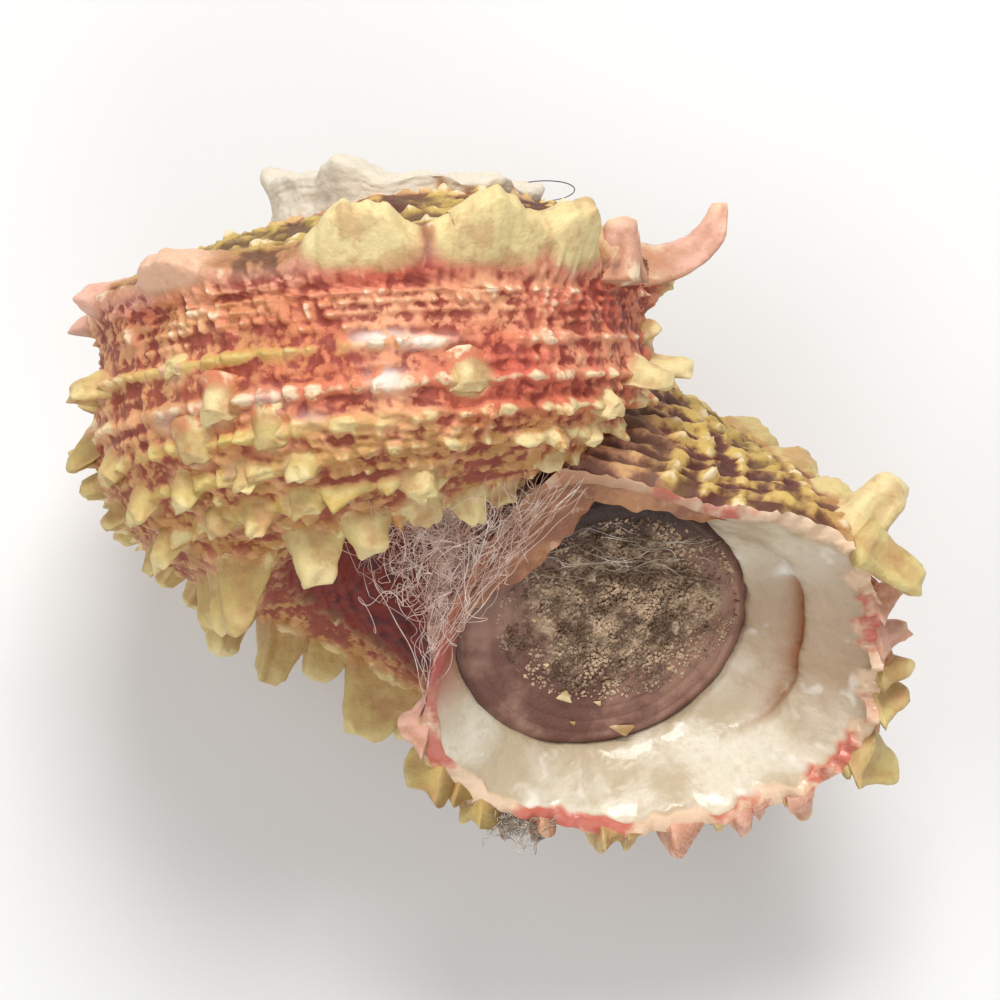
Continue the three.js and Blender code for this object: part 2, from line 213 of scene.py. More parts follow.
def noiseAt(points, cell, seed=0):
    # value noise: eased blend of the hashed numbers at the eight corners of each cell, from -1 to 1
    aside = 100.5  # keeps the cells' numbers above 0
    p = points / cell + aside
    i = np.floor(p).astype(int)
    f = p - i
    f = f * f * (3 - 2 * f)
    total = 0
    for dx in (0, 1):
        for dy in (0, 1):
            for dz in (0, 1):
                weight = (np.abs(1 - dx - f[..., 0]) * np.abs(1 - dy - f[..., 1])
                          * np.abs(1 - dz - f[..., 2]))
                total = total + weight * hashed(i[..., 0] + dx, i[..., 1] + dy, i[..., 2] + dz, seed)
    return total * 2 - 1


def fractal(points, cell, octaves=3, seed=0):
    # value noise at a cell and its halves, each half as strong
    return sum(noiseAt(points, cell / 2**k, seed + k) / 2**k for k in range(octaves))


def makeMesh(name, points, faces, attributes=None, material=None, shade=True):
    # a mesh in place, with a number for each point under each attribute's name
    mesh = bpy.data.meshes.new(name)
    mesh.from_pydata(np.asarray(points, float).reshape(-1, 3), [], faces)
    for label, values in (attributes or {}).items():
        layer = mesh.attributes.new(label, "FLOAT", "POINT")
        layer.data.foreach_set("value", np.asarray(values, np.float32).ravel())
    mesh.polygons.foreach_set("use_smooth", np.full(len(mesh.polygons), shade))
    mesh.update()
    piece = bpy.data.objects.new(name, mesh)
    bpy.context.scene.collection.objects.link(piece)
    if material:
        mesh.materials.append(material)
    return piece


def gridFaces(rows, columns, ring=False, start=0, flip=False):
    # quads between neighbouring rows and columns; a ring joins the last column to the first
    wide = columns if ring else columns - 1
    r, c = np.meshgrid(np.arange(rows - 1), np.arange(wide), indexing="ij")
    a = r * columns + c
    b = r * columns + (c + 1) % columns
    quads = np.stack([a, b, b + columns, a + columns], -1).reshape(-1, 4) + start
    return quads[:, ::-1] if flip else quads


# Materials
class Value:
    # wraps a socket, so that an expression adds its Math nodes
    def __init__(self, shader, socket):
        self.shader = shader
        self.socket = socket

    def math(self, operation, *others):
        return self.shader.node("ShaderNodeMath", {"operation": operation}, (self, *others))

    def __add__(self, other):
        return self.math("ADD", other)

    def __sub__(self, other):
        return self.math("SUBTRACT", other)

    def __rsub__(self, other):
        return self.shader.node("ShaderNodeMath", {"operation": "SUBTRACT"}, (other, self))

    def __mul__(self, other):
        return self.math("MULTIPLY", other)

    __radd__ = __add__
    __rmul__ = __mul__

    def step(self, low, high):
        # eased step from 0 at low to 1 at high
        settings = {"interpolation_type": "SMOOTHSTEP"}
        return self.shader.node("ShaderNodeMapRange", settings, {0: self, 1: low, 2: high})

    def band(self, middle, width):
        # 1 at the middle, falling to 0 at a width on either side
        return 1 - (self - middle).math("ABSOLUTE").step(0, width)


class Shader:
    def __init__(self, name):
        self.material = bpy.data.materials.new(name)
        self.material.use_nodes = True
        self.tree = self.material.node_tree
        self.surface = self.tree.nodes["Principled BSDF"]

    def node(self, kind, settings=None, inputs=(), output=0):
        made = self.tree.nodes.new(kind)
        for key, value in (settings or {}).items():
            if key == "stops":
                self.setStops(made.color_ramp, value)
            else:
                setattr(made, key, value)
        pairs = inputs.items() if isinstance(inputs, dict) else enumerate(inputs)
        for key, value in pairs:
            self.feed(made.inputs[key], value)
        return Value(self, made.outputs[output])

    def setStops(self, ramp, stops):
        while len(ramp.elements) < len(stops):
            ramp.elements.new(0.5)
        for element, (position, colour) in zip(ramp.elements, stops):
            element.position = position
            element.color = (*colour, 1)

    def feed(self, socket, value):
        if isinstance(value, Value):
            self.tree.links.new(value.socket, socket)
        elif isinstance(value, (tuple, list)) and len(value) == 3 and socket.type == "RGBA":
            socket.default_value = (*value, 1)
        else:
            socket.default_value = value

    def attribute(self, name):
        return self.node("ShaderNodeAttribute", {"attribute_name": name}, output=2)

    def mix(self, factor, first, second, blend="MIX"):
        settings = {"data_type": "RGBA", "blend_type": blend}
        return self.node("ShaderNodeMix", settings, {0: factor, 6: first, 7: second}, output=2)

    def place(self):
        return self.node("ShaderNodeTexCoord", output=3)

    def noise(self, scale, detail, rough, distortion=0.0):
        inputs = {"Vector": self.place(), "Scale": scale, "Detail": detail, "Roughness": rough,
                  "Distortion": distortion}
        return self.node("ShaderNodeTexNoise", None, inputs)

    def noises(self, listed):
        # one noise for each entry: its scale, its detail and its roughness
        return [self.noise(*entry) for entry in listed.values()]

    def ramp(self, value, stops):
        return self.node("ShaderNodeValToRGB", {"stops": stops}, (value,))

    def bump(self, height, strength, distance):
        inputs = {"Height": height, "Strength": strength, "Distance": distance}
        return self.node("ShaderNodeBump", None, inputs)

    def finish(self, **sockets):
        for key, value in sockets.items():
            self.feed(self.surface.inputs[key.replace("_", " ")], value)
        return self.material


def paint(code):
    # a written colour, made linear
    parts = [int(code[i:i + 2], 16) / 255 for i in (0, 2, 4)]
    return tuple(p / 12.92 if p <= 0.04045 else ((p + 0.055) / 1.055) ** 2.4 for p in parts)


shellLooks = {
    "rampDark": paint("6e3020"), "rampLight": paint("cfae5e"), "olive": paint("b0964e"),
    "cream": paint("eed8a0"), "keelPink": paint("dd9c82"), "coral": paint("cc7050"),
    "salmon": paint("e0a078"), "grain": paint("f4dcb8"), "wine": paint("862f22"),
    "tan": paint("c58f58"), "mustard": paint("b8884e"), "chalk": paint("d9cdb8"),
    "crownGap": paint("9c7050"), "umbilicus": paint("5e2024"), "spineOlive": paint("bea463"),
    # the dark brown at the end of the next line is painted shade for the ramp's hollows
    "spineYellow": paint("dcc684"), "spinePink": paint("e0aa96"), "rampShade": paint("4c2a1e"),
    "blue": paint("b8aaa8"), "white": paint("f6ece2"), "red": paint("c75a46"),
    "lowCrest": paint("e6d69c"), "root": paint("ac7850"), "yellowCord": paint("c8ac5e"),
    "noises": {"cloud": (330, 5, 0.65), "blotch": (110, 3, 0.5), "grain": (1700, 4, 0.7),
               "fleck": (700, 3, 0.6)},
    "pit": 0.00022,  # depth of the pores, in metres
    "shades": [(0.3, 0.3, 0.3), (0.85, 0.85, 0.85)],
    # where one band of colour gives way to the next, by place; the crown and the left side by whorl
    "keelFrom": (3.0, 3.8), "keelPale": (3.8, 4.3), "sideFrom": (4.2, 4.8), "lowFrom": (7.8, 9.2),
    "umbilicusFrom": (11.9, 12.7), "offRamp": (3.9, 4.4), "leftUntil": (0.6, 0.74),
    "crownFrom": (1.3, 1.45),
}


def shellMaterial():
    # bands by place, then marks, spines and the crown, each laid over the one before
    c = shellLooks
    s = Shader("limyShell")
    crest, place, whorl = s.attribute("crest"), s.attribute("place"), s.attribute("whorl")
    tip, tint = s.attribute("tip"), s.attribute("tint")
    cloud, blotch, grain, fleck = s.noises(c["noises"])

    # colour of the bands, from the ramp over the keel to the umbilicus
    wander = place + (blotch - 0.5) * 1.6
    ribbed = cloud * 0.7 + (s.attribute("rib") - 0.5) * 0.22 + crest * 0.45
    rampColour = s.mix(ribbed.step(0.4, 0.62), c["rampDark"], c["rampLight"])
    rampColour = s.mix(blotch.step(0.46, 0.6) * 0.6, rampColour, c["olive"])
    rampColour = s.mix(place.band(0.2, 1.4) * 0.6, rampColour, c["keelPink"])
    pink = s.mix(blotch.step(0.4, 0.6), c["coral"], c["salmon"])
    pink = s.mix(s.attribute("red") * cloud.step(0.3, 0.55), pink, c["red"])
    left = 1 - whorl.step(*c["leftUntil"])
    pink = s.mix(left * cloud.step(0.36, 0.6) * 0.75, pink, c["tan"])
    low = s.mix(cloud.step(0.42, 0.58), c["mustard"], c["tan"])
    low = s.mix(fleck.step(0.48, 0.6) * 0.6, low, c["salmon"])
    keelColour = s.mix(place.step(*c["keelPale"]), c["root"], c["keelPink"])
    colour = s.mix(wander.step(*c["keelFrom"]), rampColour, keelColour)
    colour = s.mix(wander.step(*c["sideFrom"]), colour, pink)
    colour = s.mix(wander.step(*c["lowFrom"]), colour, low)
    colour = s.mix(place.step(*c["umbilicusFrom"]), colour, c["umbilicus"])

    # pale grains on the crests, wine-red pits between the cords, painted shade in the hollows of the ramp
    paleCrest = s.mix(wander.step(6.6, 8.6), c["grain"], c["lowCrest"])
    colour = s.mix(crest.step(0.4, 0.8) * fleck.step(0.4, 0.54) * 0.8, colour, paleCrest)
    onSide = place.step(*c["offRamp"])
    pits = (1 - crest.step(0.06, 0.34)) * onSide * fleck.step(0.38, 0.5)
    colour = s.mix(pits * 0.9, colour, c["wine"])
    # painted shade: darker where the ramp's ribs and cords are both low
    rampShadeMask = (1 - crest.step(0.1, 0.4)) * (1 - onSide) * (1 - ribbed.step(0.36, 0.56))
    colour = s.mix(rampShadeMask * 0.7, colour, c["rampShade"])
    colour = s.mix(s.attribute("blue") * 0.5, colour, c["blue"])
    colour = s.mix(s.attribute("yellow") * crest.step(0.1, 0.4) * 0.85, colour, c["yellowCord"])
    # pale patches of the shell, and painted highlights among them
    colour = s.mix(s.attribute("white") * fleck.step(0.36, 0.52) * 0.8, colour, c["white"])

    # spines: cream, olive, yellow or pink, browner at the root
    stops = [(0.0, c["cream"]), (0.35, c["spineOlive"]), (0.6, c["spineYellow"]),
             (0.85, c["spinePink"]), (1.0, c["spinePink"])]
    spineColour = s.ramp(tint, stops)
    spineColour = s.mix(cloud.step(0.46, 0.62) * 0.5, spineColour, c["root"])
    spineColour = s.mix((1 - crest.step(0.25, 0.5)) * 0.35, spineColour, c["root"])
    spineColour = s.mix((1 - (tip + (fleck - 0.5) * 0.5).step(0.1, 0.5)) * 0.6, spineColour, c["root"])
    spineColour = s.mix(tip.step(0.7, 1.0) * crest.step(0.3, 0.7) * 0.7, spineColour, c["cream"])
    colour = s.mix((tip + (cloud - 0.5) * 0.5).step(0.16, 0.34), colour, spineColour)

    # worn chalk on the crown
    crown = whorl.step(*c["crownFrom"])
    chalk = s.mix(blotch.step(0.56, 0.64) * cloud.step(0.45, 0.6) * 0.7, c["chalk"], c["crownGap"])
    colour = s.mix(crown, colour, chalk)
    colour = s.mix(s.attribute("gap"), colour, c["crownGap"])
    shade = s.mix(grain, *c["shades"])
    colour = s.mix(0.4, colour, shade, "OVERLAY")

    height = grain * 0.7 + fleck * 0.9 + cloud * 1.2
    normal = s.bump(height, 0.6, c["pit"])
    rough = 0.55 - crest * 0.14 + grain * 0.14 + crown * 0.15
    return s.finish(Base_Color=colour, Roughness=rough, Normal=normal)


liningLooks = {
    "dull": paint("c0ae90"), "pale": paint("ddd3bd"), "right": paint("ae8e70"), "speck": paint("a88674"),
    "streak": paint("f6efe4"), "edgePale": paint("e3c4a4"), "edgeRed": paint("c66a56"),
    "seam": paint("b88058"), "wall": paint("b2554a"), "groove": paint("9c5e34"),
    "blister": paint("fbf8f2"), "deep": paint("5a3c30"),
    "noises": {"cloud": (200, 4, 0.6), "fine": (800, 3, 0.65), "streak": (420, 2, 0.5)},
    "pit": 0.0003, "gloss": 0.3,
}


def nacreMaterial():
    # pearly inside: colours by depth behind the lip's edge and by place, with painted shade deep in the
    # mouth
    c = liningLooks
    s = Shader("mouthLining")
    depth, place = s.attribute("depth"), s.attribute("place")
    cloud, fine, streak = s.noises(c["noises"])
    pale = s.mix(cloud.step(0.38, 0.62), c["dull"], c["pale"])
    pale = s.mix(place.band(6.0, 3.6) * 0.75, pale, c["right"])
    pale = s.mix(fine.step(0.52, 0.68) * 0.22, pale, c["speck"])
    pale = s.mix(streak.step(0.6, 0.72) * 0.5, pale, c["streak"])
    edge = s.mix(cloud.step(0.46, 0.6), c["edgePale"], c["edgeRed"])
    seam = (place - 17.4).math("ABSOLUTE").math("MINIMUM", place + 0.6)
    edge = s.mix((1 - seam.step(0.8, 2.6)) * 0.8, edge, c["seam"])
    colour = s.mix((depth + (fine - 0.5) * 1.2).step(0.2, 1.5), edge, pale)
    colour = s.mix(place.band(15.3, 1.3) * (fine + 0.2).step(0.4, 0.75), colour, c["wall"])
    colour = s.mix(s.attribute("groove") * cloud.step(0.3, 0.5), colour, c["groove"])
    colour = s.mix(s.attribute("blister"), colour, c["blister"])
    # painted shade: dark brown deep in the mouth
    colour = s.mix(depth.step(13.5, 18), colour, c["deep"])
    normal = s.bump(cloud * 1.3 + fine * 0.6 + streak, 0.55, c["pit"])
    rough = 0.24 + cloud * 0.2 + fine * 0.12
    return s.finish(Base_Color=colour, Roughness=rough, Normal=normal, Coat_Weight=c["gloss"])


foldLooks = {
    "brown": paint("925c3c"), "tan": paint("c08a60"), "fibre": paint("e2c4a6"), "edge": paint("d2a06c"),
    "noises": {"cloud": (260, 4, 0.6), "fibre": (900, 4, 0.7)},
    "pit": 0.0003, "softness": 0.3, "softDepth": 0.0006,
}


def foldMaterial():
    # brown, fibrous, paler along the free edge
    c = foldLooks
    s = Shader("innerLipFold")
    free = s.attribute("free")
    cloud, fibre = s.noises(c["noises"])
    brown = s.mix(cloud.step(0.4, 0.6), c["brown"], c["tan"])
    colour = s.mix(fibre.step(0.55, 0.7) * 0.5, brown, c["fibre"])
    colour = s.mix(free.step(0.85, 1.0) * 0.5, colour, c["edge"])
    normal = s.bump(cloud + fibre * 0.6, 0.6, c["pit"])
    return s.finish(Base_Color=colour, Roughness=0.34 + fibre * 0.25, Normal=normal,
                    Subsurface_Weight=c["softness"], Subsurface_Scale=c["softDepth"])


# Finishes of the loose stuff: its pale and its dark colour
looseLooks = {
    "paleWeb": ("f8e8dc", "dcb8a8"), "greyWeb": ("e0d4c4", "9c8c7a"), "sand": ("ccb092", "6c523e"),
    "chips": ("e2cda0", "b08a58"), "darkHair": ("3a3230", "1c1816"), "webSheet": ("ecd4c4", "c29c88"),
}


def looseMaterial(name, torn=0.0):
    # cloudy between the two colours; a torn sheet is see-through between its fibres
    s = Shader(name)
    pale, dark = (paint(code) for code in looseLooks[name])
    cloud = s.noise(500, 3, 0.6)
    colour = s.mix(cloud.step(0.4, 0.65), dark, pale)
    if torn:
        fibre = s.noise(600, 5, 0.75, distortion=2.5)
        return s.finish(Base_Color=colour, Roughness=0.6, Alpha=0.2 + fibre.step(0.46, 0.6) * torn)
    return s.finish(Base_Color=colour, Roughness=0.55)


hornLooks = {
    # top and rim are painted shade: under the inner lip's fold and where the disc meets the shelf
    "brown": paint("70483c"), "tan": paint("a27a68"), "top": paint("30201a"), "rim": paint("2a1a18"),
    "sandDark": paint("7a604c"), "sandPale": paint("b89e82"), "gritPale": paint("e0caac"),
    "gritDark": paint("3a2e26"),
    "noises": {"cloud": (150, 5, 0.6), "fine": (520, 4, 0.7), "grit": (1500, 3, 0.75)},
    "pit": 0.00035,
}


def hornMaterial():
    # brown horn with a crust of sand where the disc has one; darker to the top and the rim as painted
    # shade, under the inner lip's fold and against the shelf
    c = hornLooks
    s = Shader("horn")
    reach, high = s.attribute("reach"), s.attribute("high")
    cloud, fine, grit = s.noises(c["noises"])
    horn = s.mix(cloud.step(0.4, 0.6), c["brown"], c["tan"])
    # painted shade under the inner lip's fold: near black toward the top
    horn = s.mix(high.step(0.25, 0.9) * 0.9, horn, c["top"])
    sand = s.mix(fine.step(0.4, 0.6), c["sandDark"], c["sandPale"])
    sand = s.mix(grit.step(0.54, 0.64) * 0.7, sand, c["gritPale"])
    sand = s.mix((1 - grit.step(0.34, 0.44)) * 0.5, sand, c["gritDark"])
    crust = s.attribute("crust") * (fine * 0.5 + cloud).step(0.32, 0.54)
    colour = s.mix(crust, horn, sand)
    # painted shade: a dark rim where the disc meets the shelf
    colour = s.mix(reach.step(0.93, 1.0) * 0.5, colour, c["rim"])
    normal = s.bump(grit * 0.5 + fine * (crust + 0.25), 0.9, c["pit"])
    rough = 0.46 + crust * 0.36 + fine * 0.16
    return s.finish(Base_Color=colour, Roughness=rough, Normal=normal)


# The whorls
whorlSpec = {
    # place of each spiral cord, its height, half-width and the length of its scales, in millimetres
    "cords": [
        (0.25, 0.55, 0.62, 2.0), (0.75, 0.62, 0.62, 2.1), (1.25, 0.6, 0.6, 1.9), (1.75, 0.62, 0.62, 2.2),
        (2.25, 0.6, 0.6, 2.0), (2.75, 0.6, 0.58, 1.9), (3.2, 0.5, 0.52, 1.7), (3.6, 0.4, 0.45, 1.5),
        (4.0, 0.5, 0.7, 2.6), (4.55, 0.42, 0.36, 0.95), (4.95, 0.46, 0.38, 1.05), (5.3, 0.42, 0.36, 0.9),
        (5.65, 0.5, 0.38, 1.05), (6.05, 0.42, 0.38, 0.95), (6.5, 0.95, 0.48, 1.6),
        (6.95, 0.32, 0.38, 1.0), (7.45, 1.15, 0.56, 2.1), (7.9, 0.38, 0.4, 1.1), (8.4, 1.25, 0.56, 2.1),
        (8.85, 0.4, 0.42, 1.2), (9.3, 1.35, 0.58, 2.1), (9.75, 0.42, 0.42, 1.2), (10.2, 1.5, 0.62, 2.2),
        (10.7, 0.45, 0.45, 1.3), (11.2, 1.5, 0.7, 2.4), (11.75, 0.4, 0.5, 1.5), (12.3, 0.3, 0.5, 1.5),
        (12.9, 0.22, 0.45, 1.4)],
    "grain": 0.15, "crestFull": 0.62, "broad": 0.92,
    # how far cords and scales wander, and over what distance; patches of rubbed cords; smallest cords
    "bend": 0.55, "bendReach": 2.6, "rubbed": 0.9, "rubReach": 3.6, "smallest": 0.42,
    # growth ribs of the ramp, and the fine wrinkles all over
    "ribSpacing": 2.3, "ribHeight": 0.55, "nearLip": (45, 130), "wrinkle": 0.06, "riblet": 0.18,
    # the worn left part of the ramp, the worn spire, and the crown's edge, drawn in and lifted
    "wornRamp": (150, 185, 240, 275), "rampLoss": 0.9, "wornSpire": (470, 540),
    "crownAngles": (470, 535, 572, 600), "crownPlaces": (4, 2.8), "crownIn": 0.9, "crownUp": 0.8,
    # each stretch of the whorls: first and last angle, and how many rings; then points in a ring
    "stretches": {"lipWhorl": (-3, 45, 250), "backWhorl": (44.5, 150, 300),
                  "leftWhorl": (149.5, 278, 335), "frontWhorl": (277.5, 405, 335),
                  "spireWhorls": (404.5, 1080, 480)},
    "columns": 285, "spireColumns": 200,
}

# Marks that the photograph shows: angle, place, and their reach in degrees and places
marks = {
    "yellow": [(226, 6.5, 34, 0.28), (222, 8.4, 34, 0.28), (214, 9.3, 25, 0.25), (236, 10.2, 30, 0.3)],
    # white: pale patches of the shell, with painted highlights on the rows and on the keel knob at angle
    # 305
    "white": [(262, 7.35, 3.2, 0.3), (268, 6.5, 7, 0.14), (262, 6.35, 5, 0.16), (300, 12.0, 5, 0.4),
              (322, 11.6, 4, 0.3), (305, 4.3, 2, 0.25)],
    "gap": [(638, 4.7, 2.6, 0.9), (651, 4.7, 3.2, 0.8), (590, 6.2, 3, 0.5)],
    "blue": [(216, 7.7, 4.5, 0.3), (238, 7.6, 4, 0.3), (246, 8.2, 3, 0.25)],
    "red": [(318, 5.3, 32, 1.4), (300, 7.4, 24, 1.2), (262, 4.5, 26, 0.5), (222, 4.6, 16, 0.5),
            (340, 4.2, 18, 1.2), (330, 9.0, 22, 1.5)],
}


def markAt(angle, place, name):
    # the strongest of the named marks: exp(-(angle share)^2 - (place share)^2) of each
    near = [np.exp(-((angle - a) / da) ** 2 - ((place - p) / dp) ** 2) for a, p, da, dp in marks[name]]
    return np.max(near, axis=0)


def cordRelief(angle, points):
    # sum over the cords of ridge(distance) * (low ridge + leaning scales along growth)
    spec = whorlSpec
    size = sizeAt(angle[:, :1]) / growth["mouthSize"]
    small = np.maximum(size, spec["smallest"]) ** 0.5
    relief = np.zeros(angle.shape)
    bend = noiseAt(points, spec["bendReach"], 3) * spec["bend"]
    for number, (at, height, halfWidth, scaleLength) in enumerate(spec["cords"]):
        centre = pointAt(angle[:, :1], at)
        near = np.abs(np.linalg.norm(points - centre, axis=-1) + bend * 0.5)
        ridge = np.exp(-(near / (halfWidth * small)) ** 2)
        reach = np.linalg.norm(centre[..., :2], axis=-1)
        run = bend - np.radians(angle) * reach / (scaleLength * small)
        run = run + 0.35 * np.sin(run * 0.7 + number)
        index = np.floor(run)
        part = run - index
        tall = 0.25 + 0.75 * hashed(index, number * 7.0)
        lean = np.clip(np.minimum(part ** 1.2 * 1.25, (1 - part) * 4.5), 0, 1)
        worn = np.clip(0.8 + spec["rubbed"] * noiseAt(points, spec["rubReach"], 60 + number), 0.2, 1.35)
        relief += ridge * height * worn * (0.3 + 1.1 * tall * lean)
    return relief


def growthRelief(angle, place, points):
    # ramp ribs: an eased saw in angle times a mid radius, strongest near the lip; over them and the
    # side, wrinkles: |sin| of the way along growth, bent by noise
    spec = whorlSpec
    reach = np.linalg.norm(points[..., :2], axis=-1)
    way = np.radians(angle) * reach
    bend = noiseAt(points, 6.0, 11) * 1.2
    onRamp = 1 - smooth(place, 3.4, 4.8)
    nearLip = 1 - smooth(angle, *spec["nearLip"])
    midway = np.linalg.norm(centreAt(angle)[..., :2], axis=-1) + 0.4 * sizeAt(angle)
    run = np.radians(angle) * midway / spec["ribSpacing"] + bend * 0.2
    part = run - np.floor(run)
    rib = smooth(part, 0, 0.7) * (1 - smooth(part, 0.86, 1))
    steps = rib * spec["ribHeight"] + np.abs(np.sin(way * 2.7 + bend * 2)) * 0.3
    strong = steps * onRamp * (0.25 + 0.75 * nearLip)
    riblets = np.abs(np.sin(way * 1.9 + bend * 2)) ** 2 * spec["riblet"] * smooth(place, 4.2, 5)
    return strong + riblets + np.abs(np.sin(way * 5.2 + bend * 3)) * spec["wrinkle"], rib


# How a spine's foot lifts the surface. Knobs are broad: their lean, half-width and, below and above the
# keel, where they rise and fall. Other spines have a small round foot, larger on the lip's edge.
footSpec = {
    "lean": 14, "knobHalf": 0.42, "below": (-1.2, 0.1), "above": (1.0, 4.0), "knobRise": 0.84,
    "crownRise": 0.5, "crownFrom": 500, "roundHalf": 0.52, "roundRise": 0.24, "lipRise": 0.5,
    "roundPale": 0.4, "reach": (2, 6, 4),
}


def isKnob(spine):
    # broad low spines of the keel and the crown are raised from the surface itself
    broad = spine["length"] < whorlSpec["broad"] * spine["width"]
    return spine["place"] == growth["rows"]["keel"] and broad and spine["angle"] > 10


def spineFeet(points, spines):
    # each spine pulls the surface along its axis by a share of its length. Knob: exp(-(along)^3), eased
    # in from below and out above, with flutes. Round foot: exp(-(distance)^2)
    spec = footSpec
    alongReach, upReach, outReach = spec["reach"]
    pull = np.zeros(points.shape)
    lit = np.zeros(points.shape[:-1])
    for number, spine in enumerate(spines):
        foot = pointAt(spine["angle"], spine["place"])
        along, upward, outward = surfaceAxes(float(spine["angle"]), float(spine["place"]))
        offset = points - foot
        du, dv, dn = (offset @ axis for axis in (along, upward, outward))
        close = (np.abs(dn) < outReach) & (np.abs(du) < spine["width"] * alongReach)
        close = close & (np.abs(dv) < upReach)
        knob = isKnob(spine)
        turn = math.radians(spine["lift"] + (spec["lean"] if knob else 0))
        axis = outward * math.cos(turn) + upward * math.sin(turn)
        if knob:
            flute = 1 + 0.05 * np.cos(du * 2.1 + number * 1.3) + 0.03 * np.cos(du * 4.4 + number)
            wide = (np.abs(du) / (spine["width"] * spec["knobHalf"])) ** 3
            shape = np.exp(-wide) * smooth(dv, *spec["below"]) * (1 - smooth(dv, *spec["above"])) * flute
            rise = spec["knobRise"] if spine["angle"] < spec["crownFrom"] else spec["crownRise"]
            pale = 1.0
        else:
            shape = np.exp(-(du**2 + dv**2) / (spine["width"] * spec["roundHalf"]) ** 2)
            onLip = spine["angle"] < 12 and spine["place"] > 5
            rise = spec["lipRise"] if onLip else spec["roundRise"]
            pale = spec["roundPale"]
        shape = shape * close
        pull = pull + axis * (shape * spine["length"] * rise)[..., None]
        lit = np.maximum(lit, shape * pale)
    return pull, lit


def nearestTint(points, spines):
    # tint of the knobs, weighted by how near each is
    total = np.full(points.shape[:-1], 1e-6)
    tint = np.zeros(points.shape[:-1])
    for spine in spines:
        far = np.linalg.norm(points - pointAt(spine["angle"], spine["place"]), axis=-1)
        weight = np.exp(-3 * (far / spine["width"]) ** 2)
        total += weight
        tint += weight * spine["tint"]
    return tint / total


def lipReach(place):
    # the lip's ragged edge in degrees past the mouth: short waves, longer where a row of spines ends
    rows = sum(np.exp(-((place - at) / 0.2) ** 2) for at in growth["rows"].values())
    onOuter = smooth(place, 2, 4) * (1 - smooth(place, 13, 14.5))
    waves = 0.5 * np.sin(place * 5.1) + 0.4 * np.sin(place * 11.7 + 1) + 0.3 * np.sin(place * 23.3)
    return waves + 1.3 * np.minimum(rows, 1) * onOuter - 0.6


def drawnIn(angle, place, points):
    # the crown's edge: up, and in toward the axis, by exp(-(place share)^2) eased in and out by angle
    spec = whorlSpec
    middle, reach = spec["crownPlaces"]
    start, full, fade, end = spec["crownAngles"]
    share = np.exp(-((place - middle) / reach) ** 2)
    share = share * smooth(angle, start, full) * (1 - smooth(angle, fade, end))
    radial = points * [1, 1, 0] / np.linalg.norm(points[..., :2], axis=-1, keepdims=True)
    return share[..., None] * ([0, 0, spec["crownUp"]] - spec["crownIn"] * radial)


def whorlPiece(name, places, spines, material, lip=False):
    # the outline carried along the spiral, raised outward by its relief and pulled by spines' feet
    spec = whorlSpec
    start, end, rings = spec["stretches"][name]
    place = places[None, :]
    share = np.linspace(0, 1, rings)[:, None]
    first = -lipReach(place) if lip else np.full(place.shape, float(start))
    angle = first + (end - first) * share
    place = np.broadcast_to(place, angle.shape)
    points = pointAt(angle, place)
    outward = surfaceAxes(angle, place)[2]
    near = [m for m in spines if start - 14 < m["angle"] < end + 14]
    pull, lit = spineFeet(points, near)
    cords = cordRelief(angle, points)
    grain = fractal(points, 0.8, 3, 5) * spec["grain"]
    wear = smooth(angle, *spec["wornSpire"])
    inner = smooth(place, 12.4, 13.4)
    lamellae, rib = growthRelief(angle, place, points)
    relief = (cords * (1 - 0.94 * wear) + lamellae * (1 - 0.7 * wear)) * (1 - 0.9 * inner)
    relief = relief * (1 - 0.72 * np.minimum(lit, 1) ** 0.6)
    onTop = np.where(place < 9, 1 - smooth(place, 2.6, 3.8), smooth(place, 16, 17.5))
    begin, full, fade, stop = spec["wornRamp"]
    onLeft = smooth(angle, begin, full) * (1 - smooth(angle, fade, stop))
    relief = relief - onTop * onLeft * spec["rampLoss"]
    pull = pull + drawnIn(angle, place, points)
    relief = relief + grain + fractal(points, 3.5, 2, 9) * (0.14 + 0.3 * wear)
    if lip:
        edge = 0.6 + 0.4 * smooth(angle - first, 0, 3)
        relief = relief * edge
        pull = pull * edge[..., None]
    raised = points + outward * relief[..., None] + pull
    crest = np.clip(cords / spec["crestFull"] * 0.8 + grain * 2, 0, 1)
    crest = np.maximum(crest, np.minimum(lit * 1.3, 1))
    tint = nearestTint(points, [m for m in near if isKnob(m)])
    attributes = {"crest": crest, "place": place, "whorl": angle / 360, "tip": np.clip(lit * 1.2, 0, 0.6),
                  "tint": tint, "rib": rib}
    attributes.update({mark: markAt(angle, place, mark) for mark in marks})
    piece = makeMesh(name, toScene(raised), gridFaces(rings, len(places), True), attributes, material)
    return piece, raised[0]


capSpec = {"rings": 40, "sides": 60, "wide": 1.5, "tall": 0.55, "angle": 1000.0, "lift": 0.7, "rough": 0.12}


def apexCap(material):
    # a low dome over the tip of the spire: squashed ball, its height the cosine of the way out
    spec = capSpec
    t = np.linspace(0, 1, spec["rings"])[:, None]
    turn = np.linspace(0, 2 * np.pi, spec["sides"], endpoint=False)[None, :]
    reach = np.sin(t * np.pi) * spec["wide"]
    top = centreAt(spec["angle"])[2] + spec["lift"] * sizeAt(spec["angle"])
    height = top + np.cos(t * np.pi) * spec["tall"] + 0 * turn
    points = np.stack([reach * np.cos(turn), reach * np.sin(turn), height], -1)
    points = points + fractal(points, 1.1, 3, 71)[..., None] * spec["rough"] * np.sin(t * np.pi)[..., None]
    ones = np.ones(height.shape)
    attributes = {"crest": ones, "place": ones * 2, "whorl": ones * 2.9}
    faces = gridFaces(spec["rings"], spec["sides"], True, flip=True)
    return makeMesh("apexCap", toScene(points), faces, attributes, material)


